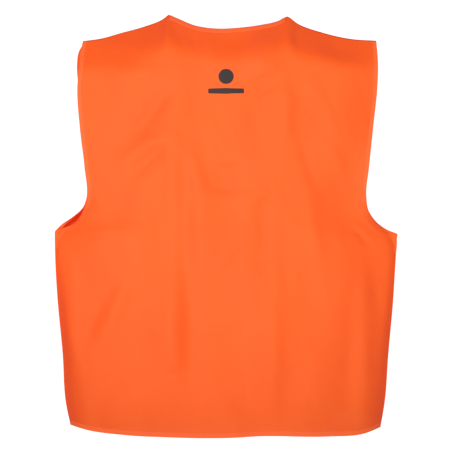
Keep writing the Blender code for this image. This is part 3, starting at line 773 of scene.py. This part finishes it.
def back_points():
    """The back's cloth: its points, their shares across and down, and where its cloth is doubled."""
    s = sizes()
    u = shares_of(BACK_WIDE, s.cell, s.edge_wide, s.edge_wide)
    v = shares_of(LONG, s.cell, s.band_wide, s.hem_wide)
    left = cornered([BACK_LEFT_ARM, [*LEFT_SIDE, BACK_HEM[0]]], v)
    right = cornered([BACK_RIGHT_ARM, [*RIGHT_SIDE, BACK_HEM[-1]]], v)
    flat = patch(line_at(BACK_TOP, u), line_at(BACK_HEM, u), left, right, u, v)
    x, z = flat[..., 0], flat[..., 1]
    low, high = left[:, :1], right[:, :1]
    to_side = (1 - np.abs(2 * (x - low) / (high - low) - 1)) * (high - low) / 2
    row_z = ((left[:, 1] + right[:, 1]) / 2)[:, None]
    even_low = evened(left[:, 0], row_z[:, 0])[:, None]
    even_high = evened(right[:, 0], row_z[:, 0])[:, None]
    aside = np.clip(np.abs(2 * (x - even_low) / (even_high - even_low) - 1), 0, 1)
    down = (TIP_Z - row_z) / (TIP_Z - CORNER_Z)
    rolled = np.clip((TIP_Z - row_z) / ROLL, 0, 1)
    roll = (TIP_Z - row_z) / SHOULDER_DEEP
    roll = roll / (1 + roll**7) ** (1 / 7)
    closed = closed_share(row_z)
    edge = ARM_EDGE_Y * roll * (1 - closed) + SEAM_Y * closed
    middle = roll * (BACK_TOP_Y + (BACK_LOW_Y - BACK_TOP_Y) * down)
    rounder = ease(0.22, 0.50, -row_z)
    full = (1 - aside**2.4) * (1 - rounder) + np.clip(1 - aside**3.2, 0, 1) ** SIDE_ROUND * rounder
    full *= to_seam(to_side, closed)
    neck = NECK_SET * (1 - np.clip(np.abs(x) / NECK_X, 0, 1) ** 2) * (1 - rolled) ** 2
    y = edge + (middle - edge) * full - neck
    from_top = v[:, None] * LONG
    free = ease(0.0, 0.035, from_top) * (1 - closed * (1 - ease(0, 0.018, to_side)))
    relief = fold_heights(x, z, BACK_FOLDS, s.fold_spread) * s.fold_gain
    relief += ripples(x, z, 3, 2.5 * MM, 0.08, 0.20) + ripples(x, z, 5, 0.14 * MM, 0.018, 0.05)
    relief *= free
    beside = 1 - closed
    relief += sewn_edge(to_side, -row_z + 0 * x, s.edge_wide, 1) * beside * ease(0, 0.02, from_top)
    to_hem = (1 - v[:, None]) * LONG + 0 * x
    relief += sewn_edge(to_hem, x, s.hem_wide, 2)
    relief += ripples(x, z, 8, 1.0 * MM, 0.05, 0.5) * ease(0.60, 0.69, -z) * free
    doubled = np.maximum(turned_share(to_side, s.edge_wide) * beside, turned_share(to_hem, s.hem_wide))
    return np.stack([x, y - relief, z], -1), u, v, doubled


def closure_x(z):
    return CLOSURE_X[0] + (CLOSURE_X[1] - CLOSURE_X[0]) * (z - V_Z) / (FRONT_HEM_Z - V_Z)


def zip_edge_x(sign, z):
    """X of a front's cloth edge beside the zip."""
    return closure_x(z) + (CLOTH_TO_ZIP + RIGHT_HALF_AWAY if sign > 0 else -CLOTH_TO_ZIP)


def inner_line(sign, neck):
    """The V neckline from the neck point to its foot, then the zip edge down to the hem."""
    foot = (zip_edge_x(sign, V_Z), V_Z)
    pull = (sign * V_PULL[0], V_PULL[1])
    points = bent_line(neck, pull, foot, np.linspace(0, 1, 40))
    return [*points, (zip_edge_x(sign, FRONT_HEM_Z), FRONT_HEM_Z)]


def front_points(sign):
    """One front's cloth, in the same way as the back's. Its shares across run from the zip to the side."""
    s = sizes()
    shoulder, arm, low, hem_end = FRONT_OUTLINES[sign]
    inner = inner_line(sign, shoulder[0])
    u = shares_of(FRONT_WIDE, s.cell, s.band_wide, s.edge_wide)
    v = shares_of(LONG, s.cell, 3 * MM, s.hem_wide)
    side = cornered([arm, [*low, hem_end[-1]]], v)
    flat = patch(line_at(shoulder, u), line_at([inner[-1], *hem_end], u), stepped(inner, v), side, u, v)
    x, z = flat[..., 0], flat[..., 1]
    fold = NECK_X + (FOLD_LOW_X - NECK_X) * z / FRONT_HEM_Z
    edge_x = evened(np.abs(side[:, 0]), side[:, 1])[:, None]
    beyond = np.clip((np.abs(x) - fold) / (edge_x - fold), 0, 1)
    closed = closed_share(side[:, 1:])
    plane = FRONT_Y - FRONT_LEAN * z
    turned_in = 0.35 * ease(0.12, 0.40, -side[:, 1:]) * (1 - closed) + closed
    edge = plane + (SEAM_Y + 0.5 * MM - plane) * turned_in
    to_side = (1 - u[None, :]) * FRONT_WIDE + 0 * x
    inward = beyond**2 * (1 - closed) + (1 - np.sqrt(1 - beyond**2)) * closed
    inward = 1 - (1 - inward) * to_seam(to_side, closed)
    y = plane + (edge - plane) * inward
    aside, lower = (0.006, 0.012) if sign < 0 else (0, 0)
    folds = [(*((sign * px + aside, pz - lower) for px, pz in each[:3]), *each[3:]) for each in FRONT_FOLDS]
    zip_away = np.abs(x - zip_edge_x(sign, np.minimum(z, V_Z)))
    from_top = v[:, None] * LONG
    calm = ease(0.004, 0.045, zip_away) * ease(0, 0.03, from_top)
    calm *= 1 - closed * (1 - ease(0, 0.020, to_side))
    on_pocket = ease(0.49, 0.52, -z) * (1 - ease(0.125, 0.150, zip_away))
    relief = fold_heights(x, z, folds, s.fold_spread) * s.fold_gain
    relief += ripples(x, z, 21 + sign, 1.1 * MM, 0.055, 0.28)
    relief += ripples(x - 0.4 * z, z, 25, 0.22 * MM, 0.016, 0.05)
    relief *= calm * (1 - 0.75 * on_pocket)
    relief += sewn_edge(to_side, -z, s.edge_wide, 4) * (1 - closed) * ease(0, 0.02, from_top)
    to_hem = (1 - v[:, None]) * LONG + 0 * x
    relief += sewn_edge(to_hem, x, s.hem_wide, 6)
    to_zip = np.where(z < V_Z, zip_away, 1.0)
    relief += 0.3 * MM * (1 - ease(3 * MM, 5 * MM, to_zip))
    relief -= 0.35 * MM * np.exp(-(((to_zip - 4 * MM) / MM) ** 2))
    doubled = np.maximum(turned_share(to_side, s.edge_wide) * (1 - closed), turned_share(to_hem, s.hem_wide))
    return np.stack([x, y + relief, z], -1), u, v, doubled


# ---------------------------------------------------------------- fixing pieces to the vest's bodies


def on_vest(piece, slot, *nodes):
    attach(piece, "vest_body")
    return named(piece, nodes)


def named(piece, nodes):
    if nodes:
        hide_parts(*nodes)
    return piece


def side_of(sign):
    return "right" if sign > 0 else "left"


def across_fold(piece, sign, slot, *nodes):
    """Cloth on a front: its place is baked into its mesh and the given frame parts are hidden. The fold's
    pivot and inward direction are worked out, but nothing uses them.
    """
    joint = JOINTS[side_of(sign) + "_front_swing"]
    pivot, axis = Vector(joint["pos_m"]), Vector(joint["axis"]).normalized()
    inwards = axis.cross(Vector((0, 1, FRONT_LEAN)).normalized())
    if inwards.x * sign > 0:
        inwards = -inwards
    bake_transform(piece)
    return named(piece, nodes)


def on_front(piece, sign, slot, *nodes):
    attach(piece, side_of(sign) + "_front")
    return named(piece, nodes)


def wrapped(strip, outward, gap=0.5 * MM):
    """A binding round an edge: strip runs from the edge (column 0) inwards, and comes back behind it."""
    front, behind = strip + outward * gap, strip - outward * gap
    past = strip[:, :1] + (strip[:, :1] - strip[:, 1:2]) * 0.45
    turned = [past + outward[:, :1] * gap * 0.6, past - outward[:, :1] * gap * 0.6]
    return np.concatenate([front[:, ::-1], *turned, behind], axis=1)


# ---------------------------------------------------------------- operators


class VEST_OT_back(bpy.types.Operator):
    """Makes the back's cloth, as it hangs from the shoulders"""

    bl_idname = "vest.back"
    bl_label = "Back"

    def execute(self, context):
        points, u, v, doubled = back_points()
        MADE["back"], MADE["back_u"], MADE["back_v"] = points, u, v
        MADE["back_out"] = -normals_of(points)
        back = grid_mesh("back_cloth", points, vest_cloth(), doubled=doubled)
        on_vest(back, "cloth", "back_panel")
        MADE["back_piece"] = back
        return {"FINISHED"}


class VEST_OT_fronts(bpy.types.Operator):
    """Makes the cloth of both fronts"""

    bl_idname = "vest.fronts"
    bl_label = "Fronts"

    def execute(self, context):
        for sign in (-1, 1):
            side = side_of(sign)
            points, u, v, doubled = front_points(sign)
            MADE[side], MADE[side + "_u"], MADE[side + "_v"] = points, u, v
            MADE[side + "_out"] = sign * normals_of(points)
            front = grid_mesh(side + "_front_cloth", points, vest_cloth(), turn=sign > 0, doubled=doubled)
            across_fold(front, sign, "cloth", side + "_front_side", side + "_front_flap")
        return {"FINISHED"}


def nearest(values, value):
    return int(np.argmin(np.abs(values - value)))


def turned_strip(name, points):
    return grid_mesh(name, points, hem_cloth(), thick=0.3 * MM)


def knit_band(name, strip, face):
    """The neck band round a strip of cloth, and the line of its stitches."""
    band = grid_mesh(name, wrapped(strip, face), band_cloth(), thick=0.45 * MM)
    return band, (strip[:, -1] + face[:, -1] * 0.75 * MM, face[:, -1])


class VEST_OT_hems(bpy.types.Operator):
    """Makes the turned hems, the armhole edges and the neck bands, with their stitches"""

    bl_idname = "vest.hems"
    bl_label = "Hems and bands"

    def execute(self, context):
        self.trim_back()
        for sign in (-1, 1):
            self.trim_front(sign)
        return {"FINISHED"}

    def trim_back(self):
        s = sizes()
        back, out = made("back"), made("back_out")
        u, v = made("back_u"), made("back_v")
        turned = back - out * TURN_DEPTH
        on_vest(turned_strip("back_hem_turn", turned[v > 1 - s.hem_wide / LONG]), "cloth", "back_hem")
        row = nearest(v, 1 - (s.hem_wide - STITCH_IN) / LONG)
        sewn = [(back[row], out[row])]

        arm = (back[:, 0, 2] > UNDERARM_Z + 0.004) & (v > 0.004)
        wide, line = s.edge_wide / BACK_WIDE, (s.edge_wide - STITCH_IN) / BACK_WIDE
        for side, columns, share in (("left", u < wide, line), ("right", u > 1 - wide, 1 - line)):
            edge = turned_strip(side + "_back_armhole_turn", turned[arm][:, columns])
            on_vest(edge, "cloth", side + "_back_armhole_edge")
            column = nearest(u, share)
            sewn.append((back[arm][:, column], out[arm][:, column]))
        on_vest(stitches("back_stitches", sewn), "band")

        neck = np.abs(back[0, :, 0]) < NECK_X + 0.5 * MM
        rows = v < (s.band_wide + 0.2 * MM) / LONG
        strip, face = back[rows][:, neck].transpose(1, 0, 2), out[rows][:, neck].transpose(1, 0, 2)
        band, line = knit_band("back_neck_knit", strip, face)
        on_vest(band, "band", "back_neck_band")
        on_vest(stitches("back_neck_stitches", [line]), "band")

    def trim_front(self, sign):
        s, side = sizes(), side_of(sign)
        front, out = made(side), made(side + "_out")
        u, v = made(side + "_u"), made(side + "_v")
        turned = front - out * TURN_DEPTH
        hem = turned_strip(side + "_front_hem_turn", turned[v > 1 - s.hem_wide / LONG][:, u > 0.07])
        across_fold(hem, sign, "cloth", side + "_front_hem", side + "_front_side_hem")
        row = nearest(v, 1 - (s.hem_wide - STITCH_IN) / LONG)
        sewn = [(front[row], out[row])]

        beside_zip = front[:, 0, 2] < V_Z - 2 * MM
        column = nearest(u, 4 * MM / FRONT_WIDE)
        sewn.append((front[beside_zip][:, column], out[beside_zip][:, column]))

        arm = (front[:, -1, 2] > UNDERARM_Z + 0.006) & (v > 0.006)
        edge = turned_strip(side + "_front_armhole_turn", turned[arm][:, u > 1 - s.edge_wide / FRONT_WIDE])
        on_vest(edge, "cloth", side + "_front_armhole_edge")
        column = nearest(u, 1 - (s.edge_wide - STITCH_IN) / FRONT_WIDE)
        line = (front[arm][:, column], out[arm][:, column])
        on_vest(stitches(side + "_armhole_stitches", [line]), "band")

        neck = front[:, 0, 2] > V_Z + 0.5 * MM
        inner = u < (s.band_wide + 0.3 * MM) / FRONT_WIDE
        band, line = knit_band(side + "_neck_knit", front[neck][:, inner], out[neck][:, inner])
        across_fold(band, sign, "band", side + "_neck_band")
        across_fold(stitches(side + "_front_stitches", [*sewn, line]), sign, "band")


class VEST_OT_seams(bpy.types.Operator):
    """Makes the felled shoulder seams and the side seams"""

    bl_idname = "vest.seams"
    bl_label = "Seams"

    def execute(self, context):
        for sign in (-1, 1):
            self.shoulder(sign)
            self.side(sign)
        return {"FINISHED"}

    def shoulder(self, sign):
        """A low roof of cloth from the back's top edge to the front's, with two rows of stitches."""
        side, back = side_of(sign), made("back")
        edge = made(side)[0]
        top = back[0][back[0, :, 0] * sign > NECK_X - 2.5 * MM]
        top = top[np.argsort(np.abs(top[:, 0]))]
        ahead = np.stack([np.interp(np.abs(top[:, 0]), np.abs(edge[:, 0]), edge[:, k]) for k in range(3)], 1)
        across = np.linspace(0, 1, 7)[None, :, None]
        roof = top[:, None] * (1 - across) + ahead[:, None] * across
        roof[..., 2] += 2.2 * MM * (across * (1 - across) * 4)[..., 0] ** 0.7
        facing = -normals_of(roof) * sign
        facing = np.where(facing[..., 2:] < 0, -facing, facing)
        fell = grid_mesh(side + "_shoulder_fell", roof, vest_cloth(), turn=sign > 0)
        on_vest(fell, "cloth", side + "_shoulder_seam")
        lines = [(roof[:, column], facing[:, column]) for column in (1, 5)]
        on_vest(stitches(side + "_shoulder_stitches", lines), "band")

    def side(self, sign):
        """A narrow strip behind the side seam, wherever the vest is deep enough there to hide it."""
        side, back = side_of(sign), made("back")
        ahead = made(side)[:, -4]
        edge, inside = (back[:, 0], back[:, 3]) if sign < 0 else (back[:, -1], back[:, -4])
        room = np.interp(-inside[:, 2], -ahead[:, 2], ahead[:, 1]) - inside[:, 1]
        hem_z = made(side)[-1, -1, 2]
        rows = (room > 9 * MM) & (edge[:, 2] < UNDERARM_Z) & (edge[:, 2] > hem_z + 0.01)
        width = np.array([-3.2, -1.6, 0.0, 1.6, 3.2]) * MM
        tape = np.repeat(edge[rows][:, None], len(width), axis=1)
        tape[..., 1] += width
        tape[..., 0] -= sign * (3.6 * MM + 0.4 * MM * np.cos(width / MM))
        strip = grid_mesh(side + "_side_fell", tape, hem_cloth(), thick=0.4 * MM)
        on_vest(strip, "cloth", side + "_side_seam")


class VEST_OT_label_and_print(bpy.types.Operator):
    """Makes the neck label inside the back and the plain print outside it"""

    bl_idname = "vest.label_and_print"
    bl_label = "Label and print"

    def execute(self, context):
        tree = tree_of(made("back"))
        x, z = np.meshgrid(np.linspace(-0.025, 0.027, 40), np.linspace(-0.041, -0.084, 34))
        points = laid_grid(tree, x, z, 0.3, 1.3 * MM)
        points[..., 1] += 0.5 * MM * np.sin((z + 0.05) * 420 + 12 * x)
        label = grid_mesh("neck_label_satin", points, label_cloth(), thick=0.35 * MM)
        on_vest(label, "label", "neck_label")
        inner = np.array([0.0, 1.0, 0.0])
        border = np.concatenate([points[1, 1:-1], points[1:-1, -2], points[-2, -2:0:-1], points[-2:0:-1, 1]])
        line = (border + inner * 0.25 * MM, np.tile(inner, (len(border), 1)))
        on_vest(stitches("label_stitches", [line]), "label")

        bar = self.printed(tree, -0.127, (29.5 * MM, 4.75 * MM), 8.0, 60, 12)
        on_vest(grid_mesh("back_print_bar_ink", bar, ink_print()), "print", "back_print_bar")
        disc = self.printed(tree, -0.103, (12.5 * MM, 12.5 * MM), 2.0, 36, 36)
        on_vest(grid_mesh("back_print_disc_ink", disc, ink_print()), "print", "back_print_disc")
        return {"FINISHED"}

    def printed(self, tree, middle_z, half, square, columns, rows):
        """A patch of ink with a superellipse's outline, laid just off the back."""
        down = np.linspace(-1, 1, rows)[:, None]
        reach = np.maximum(1 - np.abs(down) ** square, 0.0) ** (1 / square)
        x = PRINT_X + half[0] * np.linspace(-1, 1, columns)[None, :] * np.maximum(reach, 0.02)
        return laid_grid(tree, x, middle_z - half[1] * down + 0 * x, -0.3, 0.35 * MM)


class VEST_OT_pockets(bpy.types.Operator):
    """Makes the patch pockets, their mouth hems and their stitches"""

    bl_idname = "vest.pockets"
    bl_label = "Pockets"

    def execute(self, context):
        for sign in (-1, 1):
            side = side_of(sign)
            up = shares_of(POCKET_TALL, 3.4 * MM, 0, POCKET_HEM + MM, 1.6 * MM)
            points = self.bagged(sign, up)
            out = sign * normals_of(points)
            pocket = grid_mesh(side + "_pocket_cloth", points, vest_cloth(), turn=sign > 0)
            on_front(pocket, sign, "cloth", side + "_pocket")
            down = up[::-1]
            turned = down > 1 - POCKET_HEM / POCKET_TALL
            hem = turned_strip(side + "_pocket_mouth_turn", (points - out * 0.5 * MM)[turned])
            on_front(hem, sign, "cloth", side + "_pocket_hem")
            line = nearest(down, 1 - (POCKET_HEM - MM) / POCKET_TALL)
            rim = [np.concatenate([grid[:, 1], grid[-2, 1:-1], grid[::-1, -2]]) for grid in (points, out)]
            sewn = [(points[line], out[line]), rim]
            for column in (1, 2, -3, -2):
                sewn.append((points[1:8, column] + out[1:8, column] * 0.2 * MM, out[1:8, column]))
            on_front(stitches(side + "_pocket_stitches", sewn), sign, "band")
        return {"FINISHED"}

    def bagged(self, sign, up):
        """A pocket's cloth from its mouth down, sewn flat at the rim and fuller in the middle."""
        tree = tree_of(made(side_of(sign)))
        across = np.linspace(0, 1, 46)
        across = (across + (1 - np.cos(np.pi * across)) / 2) / 2
        foot_z = FRONT_HEM_Z + 2 * MM
        z = foot_z + (POCKET_TOP_Z - foot_z) * up[:, None]
        near = closure_x(z) + sign * POCKET_TO_ZIP + (RIGHT_HALF_AWAY if sign > 0 else 0)
        points = laid_grid(tree, near + sign * POCKET_WIDE * across, z + 0 * across, 0.3, 0.9 * MM)
        bulge = np.clip(np.sin(np.pi * across), 0, 1)
        points[..., 1] += POCKET_DEEP * bulge**0.6 * np.sin(np.pi * up[:, None] / 2) ** 0.65
        points[..., 2] -= 3.5 * MM * bulge * up[:, None] ** 5
        waves = ripples(points[..., 0], points[..., 2], 40 + sign, 0.9 * MM, 0.04, 0.09)
        points[..., 1] += waves * bulge**0.5
        from_line = (up - 1) * POCKET_TALL + POCKET_HEM - MM
        points[..., 1] -= 0.5 * MM * np.exp(-((from_line / (0.9 * MM)) ** 2))[:, None]
        return points[::-1]


def zip_axes():
    """Across, up and out of the zip, as rows."""
    up = Vector(JOINTS["slider_slide"]["axis"]).normalized()
    across = Vector(JOINTS["pull_tab_swing"]["axis"]).normalized()
    out = up.cross(across)
    return np.array([across, up, -out if out.y < 0 else out])


def extent(node, axes):
    """Lowest and highest reach of a working part along the zip's own axes."""
    found = np.array([v.co for v in frame["nodes"][node].data.vertices]) @ axes.T
    return found.min(axis=0), found.max(axis=0)


def softened(name, node, round_by, material):
    """A working part's shape with its edges rounded."""
    bm = bmesh.new()
    bm.from_mesh(frame["nodes"][node].data)
    bmesh.ops.remove_doubles(bm, verts=bm.verts, dist=0.01 * MM)
    bmesh.ops.dissolve_limit(bm, angle_limit=math.radians(2), verts=bm.verts, edges=bm.edges)
    mesh = bpy.data.meshes.new(name)
    bm.to_mesh(mesh)
    bm.free()
    mesh.materials.clear()
    piece = placed(name, mesh, material)
    bevel = piece.modifiers.new("rounding", "BEVEL")
    bevel.width = round_by
    bevel.segments = 3
    bevel.limit_method = "ANGLE"
    bevel.harden_normals = True
    return piece


class VEST_OT_zip(bpy.types.Operator):
    """Makes the zip: tapes, coils, stops, pins, box, slider and pull"""

    bl_idname = "vest.zip"
    bl_label = "Zip"

    def execute(self, context):
        axes = zip_axes()
        plastic = hard_material("zip_nylon", tuple(colours().plastic), 0.38)
        enamel = hard_material("zip_enamel", tuple(colours().metal), 0.34, 0.6)
        for sign in (-1, 1):
            side = side_of(sign)
            on_front(self.tape(side, axes), sign, "tape", side + "_zip_tape")
            on_front(self.coil(side, axes, plastic), sign, "coil", side + "_zip_coil")
            stop = softened(side + "_top_stop_moulded", side + "_top_stop", 0.45 * MM, plastic)
            on_front(stop, sign, "zip_plastic", side + "_top_stop")
        for sign, name, node, round_by in (
            (-1, "box_pin_moulded", "zip_box_pin", 0.4 * MM),
            (-1, "box_moulded", "zip_retainer_box", 0.6 * MM),
            (1, "insertion_pin_moulded", "zip_insertion_pin", 0.4 * MM),
        ):
            on_front(softened(name, node, round_by, plastic), sign, "zip_plastic", node)
        for name, node, round_by, body in (
            ("slider_enamelled", "zip_slider", 0.22 * MM, "slider"),
            ("pull_enamelled", "zip_pull_tab", 0.25 * MM, "pull_tab"),
        ):
            piece = softened(name, node, round_by, enamel)
            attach(piece, body)
            named(piece, [node])
        return {"FINISHED"}

    def tape(self, side, axes):
        """A narrow woven strip that waves a little away from its coil."""
        low, high = extent(side + "_zip_tape", axes)
        across, along = np.meshgrid(np.linspace(low[0], high[0], 14), np.linspace(high[1], low[1], 260))
        loose = np.abs(across - across.mean()) > 3 * MM
        out = (low[2] + high[2]) / 2 + 0.1 * MM * np.sin(along / (9 * MM)) * loose
        points = np.stack([across, along, out], -1) @ axes
        return grid_mesh(side + "_zip_tape_cloth", points, tape_cloth(), thick=0.5 * MM)

    def coil(self, side, axes, material):
        """A flattened helix of round filament between the coil's limits."""
        low, high = extent(side + "_zip_coil", axes)
        wire, around = 0.32 * MM, 5
        middle, half = (low + high) / 2, (high - low) / 2 - wire
        turns = int((high[1] - low[1]) / sizes().tooth_pitch)
        steps = turns * 8 + 1
        t = np.linspace(0, 1, steps)
        turn = 2 * np.pi * turns * t
        path = middle + half * np.stack([np.cos(turn), 2 * t - 1, np.sin(turn)], 1)
        ahead = np.gradient(path, axis=0)
        ahead /= np.linalg.norm(ahead, axis=1, keepdims=True)
        aside = np.cross(ahead, [0, 1, 0])
        aside /= np.linalg.norm(aside, axis=1, keepdims=True)
        other = np.cross(ahead, aside)
        angles = np.arange(around) * 2 * math.pi / around
        rings = np.stack([path + wire * (aside * math.cos(a) + other * math.sin(a)) for a in angles], 1)
        index = np.arange(steps * around).reshape(steps, around)
        following = np.roll(index, -1, axis=1)
        sides = np.stack([index[:-1], following[:-1], following[1:], index[1:]], -1).reshape(-1, 4)
        faces = [*sides.tolist(), index[0, ::-1].tolist(), index[-1].tolist()]
        return mesh_of(side + "_zip_coil_nylon", (rings @ axes).reshape(-1, 3).tolist(), faces, material)


class VEST_OT_stage(bpy.types.Operator):
    """Makes the pale floor, the soft light and the camera"""

    bl_idname = "vest.stage"
    bl_label = "Stage"

    def execute(self, context):
        scene = context.scene
        scene.view_settings.view_transform = "Standard"
        bpy.ops.mesh.primitive_circle_add(vertices=96, radius=1.2, fill_type="NGON", location=(0, 0, -0.86))
        floor = context.object
        floor.name = "floor"
        pale, tree, shader, coords = blank("pale_floor")
        grain = noise_node(tree, coords.outputs["Object"], 60.0, 3.0)
        tree.links.new(shaded(tree, (0.9, 0.9, 0.9), grain, 0.03), shader.inputs["Base Color"])
        shader.inputs["Roughness"].default_value = 0.9
        floor.data.materials.append(pale)

        world = bpy.data.worlds.new("white_room")
        scene.world = world
        world.use_nodes = True
        tree = world.node_tree
        seen = tree.nodes.new("ShaderNodeLightPath")
        mix = tree.nodes.new("ShaderNodeMixShader")
        tree.links.new(seen.outputs["Is Camera Ray"], mix.inputs[0])
        as_light, as_seen = tree.nodes["Background"], tree.nodes.new("ShaderNodeBackground")
        for place, white, strength in ((1, as_light, 0.45), (2, as_seen, 1.1)):
            white.inputs["Color"].default_value = (1, 1, 1, 1)
            white.inputs["Strength"].default_value = strength
            tree.links.new(white.outputs[0], mix.inputs[place])
        tree.links.new(mix.outputs[0], tree.nodes["World Output"].inputs["Surface"])

        middle = Vector((-0.0017, 0.0, -0.350))
        self.spot("key", Vector((-1.18, -2.60, -0.35)), Vector((0.0, 0.0, -0.18)), 0.22, 34, 199)
        self.spot("fill", Vector((1.3, -2.6, -0.50)), Vector((0.02, 0.0, -0.18)), 0.40, 34, 118)
        self.lamp("back", Vector((0.7, 2.2, 0.2)), middle, 1.2, 26)

        camera = bpy.data.objects.new("camera", bpy.data.cameras.new("camera"))
        scene.collection.objects.link(camera)
        far = sizes().camera_far
        camera.location = middle + Vector((0, -far - 0.05, 0))
        camera.rotation_euler = (math.pi / 2, 0, 0)
        camera.data.sensor_width = 36
        camera.data.lens = 36 * far / 0.7458
        scene.camera = camera
        return {"FINISHED"}

    def spot(self, name, place, target, size, cone, power):
        light = bpy.data.lights.new(name, "SPOT")
        light.shadow_soft_size = size
        light.spot_size = math.radians(cone)
        light.spot_blend = 1.0
        self.aimed(light, place, target, power)

    def lamp(self, name, place, target, size, power):
        light = bpy.data.lights.new(name, "AREA")
        light.size = size
        self.aimed(light, place, target, power)

    def aimed(self, light, place, target, power):
        light.energy = power
        holder = bpy.data.objects.new(light.name, light)
        holder.location = place
        holder.rotation_euler = (target - place).to_track_quat("-Z", "Y").to_euler()
        bpy.context.collection.objects.link(holder)


class VEST_PT_panel(bpy.types.Panel):
    """Lists the vest's operators and settings"""

    bl_idname = "VEST_PT_panel"
    bl_label = "Vest"
    bl_space_type = "VIEW_3D"
    bl_region_type = "UI"
    bl_category = "Vest"

    def draw(self, context):
        for operator in OPERATORS:
            self.layout.operator(operator.bl_idname)
        for group in (context.scene.vest_sizes, context.scene.vest_colours):
            for name in group.bl_rna.properties.keys():
                if name not in {"rna_type", "name"}:
                    self.layout.prop(group, name)


OPERATORS = (
    VEST_OT_back,
    VEST_OT_fronts,
    VEST_OT_hems,
    VEST_OT_seams,
    VEST_OT_label_and_print,
    VEST_OT_pockets,
    VEST_OT_zip,
    VEST_OT_stage,
)
CLASSES = (VestSizes, VestColours, *OPERATORS, VEST_PT_panel)


def register():
    for found in CLASSES:
        bpy.utils.register_class(found)
    bpy.types.Scene.vest_sizes = PointerProperty(type=VestSizes)
    bpy.types.Scene.vest_colours = PointerProperty(type=VestColours)


def unregister():
    del bpy.types.Scene.vest_colours
    del bpy.types.Scene.vest_sizes
    for found in reversed(CLASSES):
        bpy.utils.unregister_class(found)


def main():
    register()
    bpy.ops.vest.back()
    bpy.ops.vest.fronts()
    bpy.ops.vest.hems()
    bpy.ops.vest.seams()
    bpy.ops.vest.label_and_print()
    bpy.ops.vest.pockets()
    bpy.ops.vest.zip()
    bpy.ops.vest.stage()


if __name__ == "__main__":
    main()
